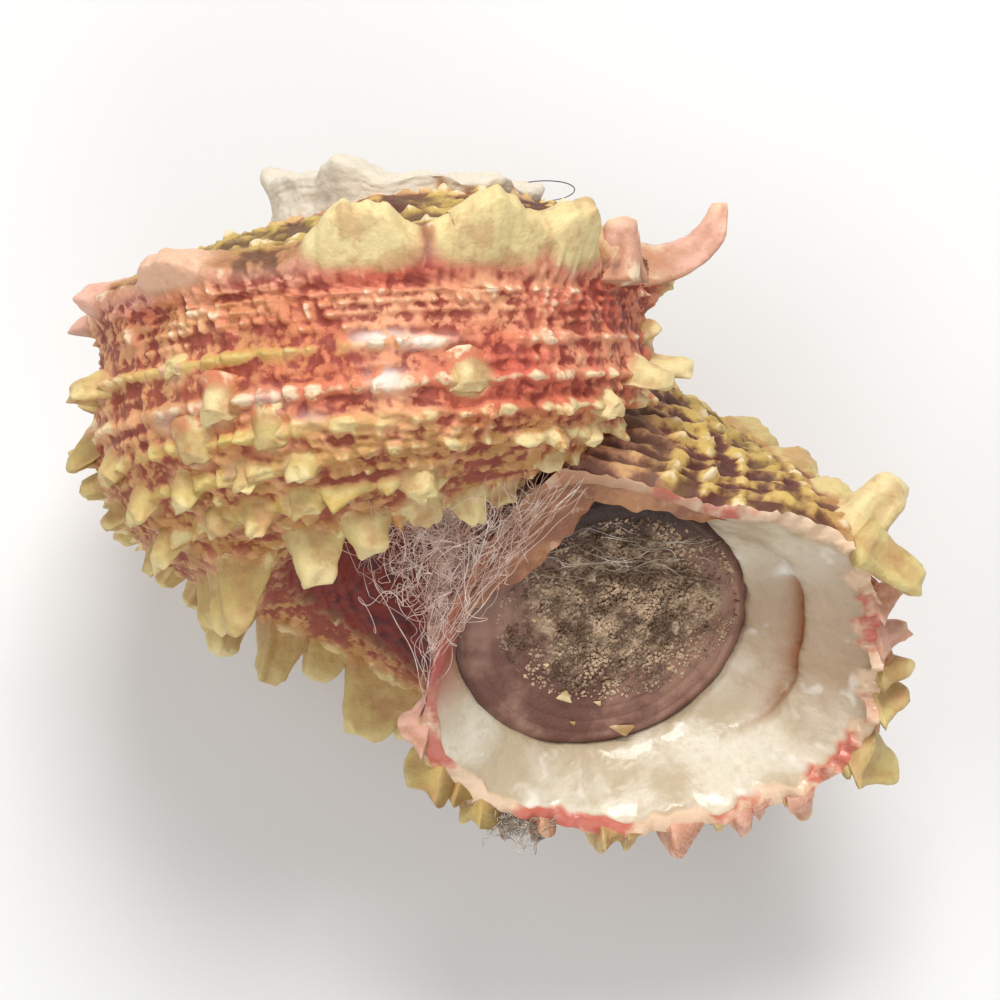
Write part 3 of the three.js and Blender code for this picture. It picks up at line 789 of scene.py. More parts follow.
def outerPlaces(count):
    # places round the outline, four times as close on the outer side as on the hidden inner side, and
    # closer still at the keel
    place = np.linspace(0, 18, 2000)
    density = np.where(place < 13.2, 1.0, 0.25) + 0.8 * ((place > 2.8) & (place < 5.2))
    total = np.concatenate([[0], np.cumsum(density[1:])])
    wanted = np.linspace(0, total[-1], count, endpoint=False)
    return np.interp(wanted, total, place)


# The spines seen in the photograph, in each row: angle, length, width, lift toward the apex and tint,
# which is 0 for cream, 0.35 for olive, 0.6 for yellow and 0.85 for pink
seenSpines = {
    "keel": [
        (15, 2.2, 4.2, 5, 0.2), (27, 2.2, 4.6, 5, 0.25), (39, 2.4, 4.8, 0, 0.3),
        (51, 2.8, 4.8, 5, 0.35), (168, 3.0, 3.6, -60, 0.85),
        (191, 2.4, 3.8, -35, 0.85), (222, 3.1, 7.0, -18, 0.8), (261, 4.4, 8.0, 16, 0.1),
        (286, 5.2, 8.0, 16, 0.15), (305, 4.8, 5.4, 12, 0.1), (325, 2.0, 3.4, 30, 0.88)],
    "crown": [
        (598, 2.6, 4.6, 5, 0), (634, 1.4, 4.4, 0, 0), (668, 1.5, 3.6, 0, 0),
        (712, 1.2, 3.0, 0, 0)],
    "upper": [
        (5, 1.3, 2.8, 0, 0.1), (191, 3.0, 3.4, -15, 0.5), (218, 0.7, 2.6, -20, 0.2),
        (350, 1.6, 2.6, 25, 0.1)],
    "middle": [
        (5, 1.6, 3.0, 20, 0.2), (166, 2.8, 2.8, -5, 0.3), (177, 3.0, 2.8, -35, 0.35),
        (227, 1.5, 3.4, -45, 0.1), (279, 0.9, 3.2, -40, 0.1), (332, 3.2, 2.8, -10, 0.15),
        (352, 3.9, 3.2, 5, 0.1)],
    "lower": [
        (5, 2.8, 3.6, 15, 0.5), (190, 1.6, 2.8, -30, 0.3), (219, 1.4, 3.4, -45, 0.3),
        (236, 1.3, 3.2, -40, 0.3), (318, 1.8, 2.6, -10, 0.1)],
    "skirt": [
        (5, 1.6, 3.2, 10, 0.3), (196, 2.4, 2.8, -20, 0.4), (211, 2.2, 2.6, -20, 0.4),
        (227, 1.8, 2.6, -15, 0.3), (240, 1.6, 2.6, -15, 0.3), (317, 1.4, 2.4, -10, 0.1)],
    "base": [
        (5, 1.7, 3.0, 0, 0.2), (13, 3.0, 3.4, 0, 0.2), (171, 2.0, 2.8, 0, 0.4), (190, 2.8, 3.0, 0, 0.4),
        (212, 1.8, 2.8, 0, 0.3), (223, 2.5, 2.8, 0, 0.3), (236, 1.6, 2.8, 0, 0.3),
        (266, 1.8, 3.0, 0, 0.2), (310, 1.2, 2.4, 0, 0.1)],
    "rim": [
        (5, 2.2, 3.0, 0, 0.2), (48, 5.6, 4.4, 0, 0.3), (66, 5.4, 4.2, 0, 0.3), (82, 6.2, 5.6, 0, 0.4),
        (103, 3.4, 4.0, 0, 0.3), (120, 5.0, 4.0, 0, 0.3), (146, 4.6, 4.0, 0, 0.3),
        (171, 4.0, 3.8, 0, 0.35), (186, 5.4, 3.6, 0, 0.3), (195, 6.0, 3.8, 0, 0.35),
        (226, 4.2, 3.8, 0, 0.2), (244, 3.2, 3.6, 0, 0.2), (265, 2.0, 3.4, 0, 0.15),
        (284, 2.6, 3.2, 0, 0.15), (301, 2.0, 3.0, 0, 0.15)],
}
# The three spines that the shell lies on, then rows on the hidden side: first and last angle, step,
# length and width
footSpines = [("keel", 66, 6.6, 4.6), ("keel", 116, 7.7, 4.8), ("lower", 90, 3.1, 3.4)]
hiddenSpines = [
    ("keel", 82, 100, 18, 2.4, 4.8), ("keel", 133, 151, 17, 3.8, 4.8), ("keel", 392, 530, 23, 2.8, 3.8),
    ("upper", 24, 172, 18.5, 1.7, 2.8), ("middle", 16, 150, 16.5, 2.3, 3.0),
    ("lower", 18, 72, 18, 2.0, 2.9), ("lower", 108, 172, 18, 2.0, 2.9),
    ("skirt", 18, 178, 20, 1.9, 2.8), ("base", 30, 154, 17.5, 2.3, 3.0),
]
hiddenLooks = {"lengths": (1.1, 0.85), "tint": 0.3, "footArch": 0.1}
# Three thick blunt spines: two at the lip's shoulder and one behind the long spine
bluntSpines = [
    {"angle": 1, "place": 4, "length": 5.4, "width": 3.7, "lift": -84, "curl": 8, "taper": 0.04,
     "arch": 0.1, "thickness": 0.72, "tint": 0.5},
    {"angle": 8, "place": 4, "length": 4.7, "width": 3.8, "lift": 2, "curl": 6, "taper": 0.24,
     "arch": 0.1, "thickness": 0.9, "tint": 0.1},
    {"angle": 325, "place": 4, "length": 3.4, "width": 2.7, "lift": 62, "curl": 10, "taper": 0.1,
     "arch": 0.1, "thickness": 0.95, "tint": 0.88},
]
# Small spines of the lip's own edge: angle, place, length, width, lift and tint
lipSpines = [
    (3, 5.3, 2.0, 2.8, 10, 0.85), (3, 6.1, 2.4, 2.6, 0, 0.9), (3, 6.75, 2.6, 2.8, 0, 0.4),
    (3, 7.35, 2.6, 3.2, 10, 0.5), (2.5, 8.3, 4.2, 4.4, 5, 0.42), (2.5, 9.3, 2.6, 3.6, 0, 0.85),
    (2.5, 10.0, 2.0, 3.0, 0, 0.9), (2.5, 10.75, 2.2, 4.0, 0, 0.9), (3, 11.5, 2.0, 3.2, 0, 0.2),
    (4, 12.9, 2.4, 3.2, 0, 0.35), (5, 13.6, 3.2, 3.6, 0, 0.35), (9, 13.2, 3.2, 3.2, 0, 0.35),
    (3, 9.75, 1.4, 2.2, 0, 0.9), (3, 12.2, 1.6, 2.4, 0, 0.8), (4, 14.3, 1.8, 2.4, 0, 0.9),
]
longSpine = {"angle": 355, "place": 4, "length": 8.1, "width": 3.5, "lift": -32, "curl": 101,
             "taper": 0.3, "tint": 0.85}


def allSpines():
    # one dictionary for each spine, from the lists above
    spines = []

    def add(angle, place, length, width, lift, tint, **more):
        spines.append({"angle": angle, "place": place, "length": length, "width": width, "lift": lift,
                       "curl": 0, "tint": tint, **more})

    rows, hidden = growth["rows"], hiddenLooks
    for row, listed in seenSpines.items():
        for angle, *rest in listed:
            add(angle, rows[row], *rest)
    for row, first, last, step, length, width in hiddenSpines:
        count = round((last - first) / step)
        for i in range(count + 1):
            angle = first + (last - first) * i / max(count, 1)
            add(angle, rows[row], length * hidden["lengths"][i % 2], width, 0, hidden["tint"])
    for row, angle, length, width in footSpines:
        add(angle, rows[row], length, width, 0, hidden["tint"], arch=hidden["footArch"])
    for listed in lipSpines:
        add(*listed)
    return spines + [dict(spine) for spine in (*bluntSpines, longSpine)]


spineSpec = {
    "rings": 20, "sides": 28, "depth": 1.3, "thickness": 0.6, "taper": 0.36, "taperSpread": 0.14,
    "flutes": 4, "fluteDepth": 0.12, "arch": 0.42, "rootFlare": 0.75, "tipFlare": 0.35,
    "ragged": 0.3, "bluntRagged": 0.1, "sway": 0.16, "pores": 0.1, "dents": 0.2, "tipLumps": 0.25,
    "lipAngle": 14, "lipDepth": 0.6, "lipShift": 0.14,
    "paleRoots": 0.35, "palePlace": 11.9, "paleAngle": 12,
}


def spineSurface(spine, number):
    # rings of shrinking, fluted ovals along an axis that bends by its curl; the last ring is a point
    spec = spineSpec
    angle, place = float(spine["angle"]), float(spine["place"])
    along, upward, outward = surfaceAxes(angle, place)
    root = pointAt(angle, place)
    depth = spec["depth"]
    if angle < spec["lipAngle"]:
        depth = spec["lipDepth"]
        root = root + outward * spine["width"] * spec["lipShift"]

    # the axis, sunk into the shell at the root and swayed along the growth
    t = np.linspace(0, 1, spec["rings"])
    turn = np.radians(spine["lift"] + spine["curl"] * t)[:, None]
    axis = outward * np.cos(turn) + upward * np.sin(turn)
    across = upward * np.cos(turn) - outward * np.sin(turn)
    step = spine["length"] / (spec["rings"] - 1)
    path = root + np.concatenate([[np.zeros(3)], np.cumsum((axis[1:] + axis[:-1]) / 2, 0)]) * step
    path = path - axis[:1] * depth * (1 - t[:, None]) ** 3
    sway = (hashed(number, 3.0) - 0.5) * spec["sway"] * spine["length"]
    path = path + along * (np.sin(t * np.pi * 0.7) * sway)[:, None]

    # the share of the width left at each ring, rounded off at the tip
    taper = spine.get("taper", spec["taper"] + spec["taperSpread"] * (hashed(number, 9.0) - 0.5))
    share = (1 - taper * t ** 0.9) * np.sqrt(np.maximum(1 - t ** 14, 0))
    share = share * (1 + 0.3 * (1 - t) ** 4)
    share = share * (1 + spec["tipFlare"] * max(hashed(number, 5.0) - 0.45, 0) * t ** 3)
    breadth = (1 + spec["rootFlare"] * (1 - t) ** 3)[:, None]

    # each ring: a fluted oval, arched across
    side = np.linspace(0, 2 * np.pi, spec["sides"], endpoint=False)
    wave = np.cos(side * spec["flutes"] + number * 1.7) + 0.5 * np.cos(side * 3 + number)
    deep = np.sin(np.pi * np.minimum(t + 0.15, 1))[:, None] ** 0.5
    flute = 1 + spec["fluteDepth"] * wave[None, :] * deep
    radius = share[:, None] * flute * spine["width"] / 2
    wide = along * (np.cos(side) * radius * breadth)[..., None]
    bow = (share * spine["width"] * (1 - 0.5 * t))[:, None] * (0.4 - np.cos(side) ** 2)
    bow = bow * spine.get("arch", spec["arch"])
    thickness = spine.get("thickness", spec["thickness"])
    thick = across[:, None, :] * (np.sin(side) * radius * thickness + bow)[..., None]

    # broken edge of the tip, then pores and dents
    jag = np.sin(side * 2 + number * 2.3) * 0.6 + np.sin(side * 3 + number * 4.1) * 0.5
    ragged = spec["bluntRagged"] if "arch" in spine else spec["ragged"] * hashed(number, 8.0)
    jag = jag[None, :] * (t ** 4)[:, None] * spine["width"] * ragged * 0.5
    middle = path[:, None, :]
    points = middle + wide + thick + axis[:, None, :] * jag[..., None]
    rough = fractal(points, 0.7, 2, 21) * spec["pores"] + fractal(points, 2.0, 2, 25) * spec["dents"]
    swell = rough * np.minimum(share * 2, 1)[:, None]
    points = points + unit(points - middle + 1e-9) * swell[..., None]
    points[-3:] += axis[-1] * (noiseAt(points[-3:], 0.8, 33) * spec["tipLumps"])[..., None]
    points[-1] = points[-1].mean(0)
    points[0] = points[0].mean(0)
    tipness = np.broadcast_to(t[:, None], rough.shape)
    return points, tipness, np.clip(0.5 + (flute - 1) * 2 + rough, 0, 1) + 0 * tipness


def spinePieces(spines, material):
    # all spines in one mesh; by the umbilicus and on the lip the tip's colour starts nearer the root
    spec = spineSpec
    each = spec["rings"] * spec["sides"]
    made = [spineSurface(spine, i) for i, spine in enumerate(spines)]
    faces = [gridFaces(spec["rings"], spec["sides"], True, i * each) for i in range(len(made))]
    pale = [s["place"] > spec["palePlace"] or s["angle"] < spec["paleAngle"] for s in spines]
    early = np.repeat(np.array(pale) * spec["paleRoots"], each)
    attributes = {"tip": np.concatenate([m[1].ravel() for m in made]) * (1 - early) + early,
                  "crest": np.concatenate([m[2].ravel() for m in made])}
    for name, key, divide in (("place", "place", 1), ("whorl", "angle", 360), ("tint", "tint", 1)):
        attributes[name] = np.repeat([s[key] / divide for s in spines], each)
    points = np.concatenate([m[0].reshape(-1, 3) for m in made])
    return makeMesh("spines", toScene(points), np.concatenate(faces), attributes, material)


# The mouth
mouthSpec = {
    "depthAngle": 70, "lipShare": 0.955, "wallShare": 0.86, "steps": 260,
    # the shelf round the operculum, as in the solid: its share of the outline by place
    "shelfPlaces": [0, 2, 3, 4, 5, 8, 9, 10, 12, 13, 14, 15, 17, 18],
    "shelfShares": [0.9, 0.8, 0.65, 0.53, 0.5, 0.5, 0.565, 0.65, 0.67, 0.76, 0.83, 0.92, 0.92, 0.9],
    "shelfAngles": (0, 7, 8.5, 13, 15, 24), "firstRise": 0.55, "overlap": 0.012,
    # the groove of the right wall and its half-width in degrees; the blister at the upper right: its
    # angle and place, their reach, and its height; the folds at the lip; unevenness all over
    "groove": 0.025, "grooveHalf": 1.1, "blisterAt": (8.5, 4.25), "blisterReach": (1.6, 0.22),
    "blister": 0.45, "lipFolds": 0.22, "wallFolds": 0.15, "uneven": 0.14,
}


def rimShare(place):
    # the share of the outline's ray that meets the operculum's rim: the far root of
    # ((s x - cx) / a)^2 + ((s y - cy) / b)^2 = 1
    size = sizeAt(disc["angle"])
    ray = outlineOf(np.full(np.shape(place), float(disc["angle"])), place) * size
    a, b = disc["radius"] * disc["oval"], disc["radius"]
    cx, cy = disc["shift"][0] * size, disc["shift"][1] * size
    square = (ray[..., 0] / a) ** 2 + (ray[..., 1] / b) ** 2
    middle = ray[..., 0] * cx / a**2 + ray[..., 1] * cy / b**2
    rest = (cx / a) ** 2 + (cy / b) ** 2 - 1
    return (middle + np.sqrt(middle**2 - square * rest)) / square


def hollowShare(angle, place):
    # two eased steps from the lip in to the shelf, then one out again behind the operculum
    spec = mouthSpec
    start, ledge, groove, edge, back, deep = spec["shelfAngles"]
    rise = spec["firstRise"] * smooth(angle, start, ledge)
    rise = rise + (1 - spec["firstRise"]) * smooth(angle, groove, edge)
    stepped = smooth(place, 2, 4) * (1 - smooth(place, 8.5, 10.5))
    rise = rise * stepped + smooth(angle, start - 1, edge) * (1 - stepped)
    shelf = curveThrough(spec["shelfPlaces"], spec["shelfShares"], place)
    meets = smooth(place, 1.5, 2.5) * (1 - smooth(place, 14, 15))
    shelf = shelf + (np.minimum(rimShare(place) - spec["overlap"], spec["lipShare"]) - shelf) * meets
    front = spec["lipShare"] + (shelf - spec["lipShare"]) * rise
    return front + (spec["wallShare"] - front) * smooth(angle, back, deep)


def mouthLining(edge, places, material):
    # from the lip's edge inward along the hollow, with shallow folds at the lip and a groove
    spec = mouthSpec
    t = np.linspace(0, 1, spec["steps"])[:, None] ** 1.8
    place = np.broadcast_to(places[None, :], (spec["steps"], len(places)))
    first = -lipReach(place)
    angle = first + (spec["depthAngle"] - first) * t
    outerSide = smooth(place, 3, 5) * (1 - smooth(place, 9.5, 11.5))
    grooveSide = smooth(place, 4, 5) * (1 - smooth(place, 7.5, 9.5))
    groove = grooveSide * np.exp(-((angle - spec["shelfAngles"][2]) / spec["grooveHalf"]) ** 2)
    atAngle, atPlace = spec["blisterAt"]
    long, wide = spec["blisterReach"]
    blister = np.exp(-((angle - atAngle) / long) ** 2 - ((place - atPlace) / wide) ** 2)
    points = pointAt(angle, place, hollowShare(angle, place) + spec["groove"] * groove)
    inward = unit(centreAt(angle) - points)
    folds = spec["lipFolds"] * np.abs(np.sin(place * 4.2 + angle * 0.05)) * (1 - smooth(angle, 3, 9))
    folds = folds * smooth(place, 8, 10)
    folds = folds + spec["wallFolds"] * outerSide * np.abs(np.sin(place * 2.6 + 1))
    bump = fractal(points, 2.2, 3, 31) * spec["uneven"] + blister * spec["blister"]
    bump = bump - folds * smooth(angle - first, 0, 2)
    points = points + inward * bump[..., None]
    points[0] = edge
    attributes = {"depth": angle - first, "place": place, "groove": groove, "blister": blister}
    faces = gridFaces(spec["steps"], len(places), True, flip=True)
    return makeMesh("mouthLining", toScene(points), faces, attributes, material)


# The inner lip's fold over the operculum: how far it leaves the mouth open, by place
fold = {
    "places": [15.4, 16, 16.4, 16.7, 17, 17.4, 17.8, 18.2, 18.8, 19.6, 20.4, 21],
    "shares": [0.96, 0.9, 0.8, 0.75, 0.71, 0.71, 0.74, 0.78, 0.8, 0.84, 0.91, 0.96],
    "root": 0.985, "angles": (4.0, 6.6), "steps": 300, "rows": 60,
    "scallops": (0.012, 0.007, 0.01), "sway": 1.4, "ripples": 0.3, "pleats": 0.07,
}


def innerFold(material):
    # a thin plate: out from the wall to its scalloped free edge on the front and home again behind
    spec = fold
    place = np.linspace(spec["places"][0], spec["places"][-1], spec["steps"])[:, None]
    v = np.linspace(0, 1, spec["rows"])[None, :]
    out = 1 - np.abs(2 * v - 1)
    long, short, uneven = spec["scallops"]
    alongEdge = np.concatenate([place, place * 0, place * 0], -1)
    scallop = long * np.sin(place * 6.3) + short * np.sin(place * 17)
    scallop = scallop + uneven * noiseAt(alongEdge, 0.12, 4)[:, None]
    free = np.interp(place, spec["places"], spec["shares"]) + scallop
    share = spec["root"] + (free - spec["root"]) * np.sqrt(1 - (1 - out) ** 2)
    front, back = spec["angles"]
    angle = front + (back - front) * smooth(v, 0.3, 0.7) + spec["sway"] * out * np.sin(place * 2.1)
    points = pointAt(angle, place % 18, share)
    ripples = fractal(points, 2.4, 3, 51) * spec["ripples"] * out
    ripples = ripples + spec["pleats"] * np.sin(place * 19 + out * 4) * out
    points = points + frameAt(float(front))[1] * ripples[..., None]
    faces = gridFaces(spec["steps"], spec["rows"])
    return makeMesh("innerLipFold", toScene(points), faces, {"free": out + 0 * place}, material)


# The operculum: its crust of sand lies round a spot given in radii, and is a little wider than high
discSpec = {
    "rings": 150, "sides": 300, "turnBack": 0.84, "face": 0.3, "dome": 0.25, "ridge": 0.1, "ridges": 10,
    "backDepth": 0.75, "uneven": 0.12, "crust": (0.08, 0.12, 0.76), "crustOval": 1.15,
    "crustHeight": 0.3, "crustRagged": 0.13, "grains": 4600, "grainSizes": (0.05, 0.2), "grainEdge": 0.93,
}


def onDisc(x, y, height):
    # a point of the disc: middle + side * x + up * y, both in radii, + height along its facing
    centre, side, up, ahead = discFrame()
    return centre + (side * x[..., None] + up * y[..., None]) * disc["radius"] + ahead * height[..., None]


def operculumPiece(material):
    # a disc of rings: raised by a slow spiral ridge, domed a little in the middle, closed behind
    spec = discSpec
    ahead = discFrame()[3]
    t = np.linspace(0, 1, spec["rings"])[:, None]
    turn = np.linspace(0, 2 * np.pi, spec["sides"], endpoint=False)[None, :]
    isFront = t <= spec["turnBack"]
    back = np.clip((t - spec["turnBack"]) / (1 - spec["turnBack"]), 0, 1)
    reach = np.where(isFront, np.minimum(t / spec["turnBack"], 1), 1 - back)
    x, y = np.cos(turn) * reach, np.sin(turn) * reach
    ridge = spec["ridge"] * np.abs(np.sin((reach * spec["ridges"] - turn / (2 * np.pi)) * np.pi)) ** 0.7
    ridge = ridge * smooth(reach, 0.45, 0.7) * np.minimum((1 - reach) * 12, 1)
    face = spec["face"] + spec["dome"] * (1 - reach ** 2) + ridge
    face = face * np.minimum((1 - reach) * 14 + 0.05, 1)
    points = onDisc(x, y, np.where(isFront, face, -spec["backDepth"] * back ** 0.3))
    crust = crustAt(x, y, points) * isFront
    lumps = (fractal(points, 0.7, 3, 41) * 0.5 + 0.6) * spec["crustHeight"] * crust
    lumps = lumps + fractal(points, 3, 2, 44) * spec["uneven"] * isFront
    points = points + ahead * (lumps * np.minimum((1 - reach) * 8, 1))[..., None]
    attributes = {"reach": reach + 0 * turn, "high": y, "crust": crust}
    faces = gridFaces(spec["rings"], spec["sides"], True)
    return makeMesh("operculumDisc", toScene(points), faces, attributes, material)


def crustAt(x, y, points):
    # how thick the sand lies: eased off from 0.72 of the crust's radius to its ragged edge
    spec = discSpec
    cx, cy, radius = spec["crust"]
    ragged = fractal(points, 2.6, 3, 47) * spec["crustRagged"]
    far = np.hypot(x - cx, (y - cy) * spec["crustOval"]) + ragged
    return 1 - smooth(far, radius * 0.72, radius)


def scatterGrains(name, centres, sizes, material):
    # small eight-faced grains, each squashed and turned at random
    base = np.array([(1, 0, 0), (0, 1, 0), (-1, 0, 0), (0, -1, 0), (0, 0, 1), (0, 0, -1)], float)
    around = np.arange(4)
    top = np.stack([around, (around + 1) % 4, around * 0 + 4], -1)
    bottom = np.stack([(around + 1) % 4, around, around * 0 + 5], -1)
    faces = np.concatenate([top, bottom])
    count = len(centres)
    stretch = rng.uniform(0.6, 1.3, (count, 1, 3))
    tilt = np.linalg.qr(rng.normal(size=(count, 3, 3)))[0]
    points = centres[:, None, :] + (base * stretch * sizes[:, None, None]) @ tilt
    allFaces = (faces[None] + len(base) * np.arange(count)[:, None, None]).reshape(-1, 3)
    return makeMesh(name, toScene(points), allFaces, None, material, shade=False)


def discGrains(material):
    # grains on the crust: closer together toward its middle, none on the disc's rim
    spec = discSpec
    cx, cy, radius = spec["crust"]
    turn = rng.uniform(0, 2 * np.pi, spec["grains"])
    far = rng.uniform(0, 1, spec["grains"]) ** 0.85 * radius * 1.1
    x, y = cx + far * np.cos(turn), cy + far * np.sin(turn) / spec["crustOval"]
    keep = np.hypot(x, y) < spec["grainEdge"]
    x, y = x[keep], y[keep]
    crust = crustAt(x, y, onDisc(x, y, 0 * x))
    height = spec["face"] + 0.04 + spec["dome"] * (1 - x**2 - y**2) + spec["crustHeight"] * crust
    sizes = rng.uniform(*spec["grainSizes"], len(x))
    return scatterGrains("discGrains", onDisc(x, y, height), sizes, material)


# Chips on the operculum: where on the disc, size, turn, and how far from round
chips = [(-0.2, -0.56, 0.75, 20, 0.5), (0.26, -0.84, 0.95, 80, 0.75), (-0.42, 0.42, 0.3, 0, 0.2),
         (-0.5, 0.06, 0.32, 50, 0.2), (-0.36, -0.3, 0.3, 10, 0.3), (0.05, -0.62, 0.35, 120, 0.5),
         (0.5, -0.35, 0.28, 70, 0.3), (0.62, 0.22, 0.3, 0, 0.3), (-0.1, -0.78, 0.3, 40, 0.4)]
chipSpec = {"rings": 12, "sides": 24, "corners": (0, 2.3, 4.1), "height": 0.62, "overlap": 0.1, "large": 2,
            "squash": 0.8, "tilt": 0.3, "thickness": 0.12}


def discChips(material):
    # thin flakes: three straight sides with clipped corners, a little swollen in the middle
    spec = chipSpec
    side, up, ahead = discFrame()[1:]
    t = np.linspace(0, 1, spec["rings"])[:, None]
    turn = np.linspace(0, 2 * np.pi, spec["sides"], endpoint=False)[None, :]
    points = []
    for number, (x, y, size, tilt, corner) in enumerate(chips):
        sides = turn[..., None] - np.array(spec["corners"]) - 0.4 * number
        outline = size * 0.5 / np.maximum(np.cos(sides).max(-1), 1 - corner)
        reach = np.sin(t * np.pi) * outline
        bearing = turn + math.radians(tilt)
        spot = onDisc(*np.array([x, y, spec["height"] + spec["overlap"] * (number < spec["large"])]))
        flat = (np.cos(bearing) * reach)[..., None] * side
        flat = flat + (np.sin(bearing) * reach * spec["squash"])[..., None] * up
        lean = spec["tilt"] * np.cos(bearing) * reach + np.cos(t * np.pi) * spec["thickness"]
        points.append(spot + flat + ahead * lean[..., None])
    each = spec["rings"] * spec["sides"]
    faces = [gridFaces(spec["rings"], spec["sides"], True, i * each) for i in range(len(chips))]
    return makeMesh("discChips", toScene(np.array(points)), np.concatenate(faces), None, material)


# Cobweb, lint and a stray hair. Each: how many, where from and to as angles and places, how many points
# in a thread, how far it sways, the seed of its sway, and its radius
threadSpec = {
    "cobweb": {"count": 165, "rim": (232, 316), "rimPlaces": (10.4, 12.8), "rimShare": 1.03,
               "lip": (-1, 5), "lipPlaces": (14.6, 17.4), "spread": 0.8, "toLip": 0.3, "fromRim": 0.6,
               "steps": 70, "sway": 1.1, "seed": 5, "radii": (0.014, 0.036)},
    "lipFan": {"count": 34, "share": 0.97, "shareSpread": 0.05, "shares": (0.82, 1.06), "top": (0, 3),
               "topPlaces": (17.2, 18.3), "foot": (0, 3.5), "footPlaces": (15.3, 16.7), "forward": 0.5,
               "steps": 50, "sway": 0.35, "seed": 12, "radii": (0.014, 0.036)},
    "discThreads": {"count": 16, "left": (-0.95, -0.1), "right": (0.1, 0.95), "high": (0.35, 0.85),
                    "share": 0.9, "height": 0.95, "steps": 60, "sway": 0.5, "seed": 9,
                    "radii": (0.014, 0.034)},
    "lint": {"count": 90, "lip": (-1, 4), "lipPlaces": (12.1, 12.9), "share": 1.03, "hang": (0.2, 1.3),
             "spread": 0.5, "steps": 22, "sway": 0.5, "seed": 3, "radii": (0.02, 0.05)},
}


def tubesAlong(name, paths, radii, material, sides=5):
    # a thin tube round each path: its point plus radius * (cos, sin) on two axes across the path
    count, steps = paths.shape[:2]
    anyAcross = [0.31, 0.2, 0.93]
    ahead = unit(np.gradient(paths, axis=1))
    across = unit(np.cross(ahead, anyAcross))
    other = np.cross(ahead, across)
    turn = np.linspace(0, 2 * np.pi, sides, endpoint=False)
    thin = (radii[:, None] * np.sin(np.linspace(0.12, np.pi - 0.12, steps)) ** 0.25)[..., None, None]
    ring = across[:, :, None] * np.cos(turn)[:, None] + other[:, :, None] * np.sin(turn)[:, None]
    points = paths[:, :, None] + ring * thin
    faces = [gridFaces(steps, sides, True, i * steps * sides) for i in range(count)]
    return makeMesh(name, toScene(points), np.concatenate(faces), None, material)


def threads(name, starts, ends, material):
    # the named threads: each from its start to its end, of its own thickness
    spec = threadSpec[name]
    paths = wanderingPaths(starts, ends, spec["steps"], spec["sway"], spec["seed"])
    return tubesAlong(name, paths, rng.uniform(*spec["radii"], spec["count"]), material)


def wanderingPaths(starts, ends, steps, sway, seed):
    # straight lines from start to end, bowed and shaken by smooth noise that fades at both ends
    t = np.linspace(0, 1, steps)[None, :, None]
    line = starts[:, None] * (1 - t) + ends[:, None] * t
    local = np.random.default_rng(seed)
    shake = np.zeros(line.shape)
    for wave in range(1, 10):
        push = local.normal(size=(len(starts), 1, 3)) / wave ** 0.8
        shake += push * np.sin(t * np.pi * wave + local.uniform(0, 6, (len(starts), 1, 1)))
    return line + shake * sway * np.sin(t * np.pi) ** 0.7


def cobweb(material):
    # threads from the spines round the umbilicus over to the inner lip, and some among themselves
    spec = threadSpec["cobweb"]
    count = spec["count"]
    rimAngle, rimPlace = rng.uniform(*spec["rim"], count), rng.uniform(*spec["rimPlaces"], count)
    nearRim = pointAt(rimAngle, rimPlace, spec["rimShare"])
    nearLip = pointAt(rng.uniform(*spec["lip"], count), rng.uniform(*spec["lipPlaces"], count))
    between = nearRim + (np.roll(nearLip, 11, 0) - nearRim) * rng.uniform(0.2, 0.8, (count, 1))
    between = between + rng.normal(size=(count, 3)) * spec["spread"]
    pick = rng.uniform(0, 1, (count, 1))
    starts = np.where(pick < spec["fromRim"], nearRim, between)
    ends = np.where(pick < spec["toLip"], nearLip, np.roll(between, 5, 0))
    return threads("cobweb", starts, ends, material)


def lipFan(material):
    # strands of torn web that run down the back of the inner lip, close together
    spec = threadSpec["lipFan"]
    count = spec["count"]
    low, high = spec["shares"]
    share = np.clip(rng.normal(spec["share"], spec["shareSpread"], count), low, high)
    starts = pointAt(rng.uniform(*spec["top"], count), rng.uniform(*spec["topPlaces"], count) % 18, share)
    footShare = np.clip(share + 0.02, low - 0.02, high - 0.01)
    ends = pointAt(rng.uniform(*spec["foot"], count), rng.uniform(*spec["footPlaces"], count), footShare)
    forward = frameAt(2.0)[1] * spec["forward"]
    return threads("lipFan", starts + forward, ends + forward, material)


def discThreads(material):
    # a few threads over the top of the operculum, from its left side to its right
    spec = threadSpec["discThreads"]
    count = spec["count"]
    left, right = rng.uniform(*spec["left"], count), rng.uniform(*spec["right"], count)
    high = rng.uniform(*spec["high"], (2, count))
    height = np.full(count, spec["height"])
    starts = onDisc(left * spec["share"], high[0] * spec["share"], height)
    ends = onDisc(right * spec["share"], high[1] * spec["share"], height)
    return threads("discThreads", starts, ends, material)


def lint(material):
    # a clump of short curled fibres under the lip's lower edge
    spec = threadSpec["lint"]
    count = spec["count"]
    root = pointAt(rng.uniform(*spec["lip"], count), rng.uniform(*spec["lipPlaces"], count), spec["share"])
    down = unit(pointAt(0.0, 12.3) - centreAt(0.0))
    ends = root + down * rng.uniform(*spec["hang"], (count, 1))
    ends = ends + rng.normal(size=(count, 3)) * spec["spread"]
    return threads("lint", root, ends, material)


hairSpec = {"steps": 70, "turns": (205, -80), "wide": 2.1, "deep": 0.4, "high": (0.45, 0.4),
            "from": (712.0, 4.0), "shift": (0.6, -0.5, 0.5), "radius": 0.04}


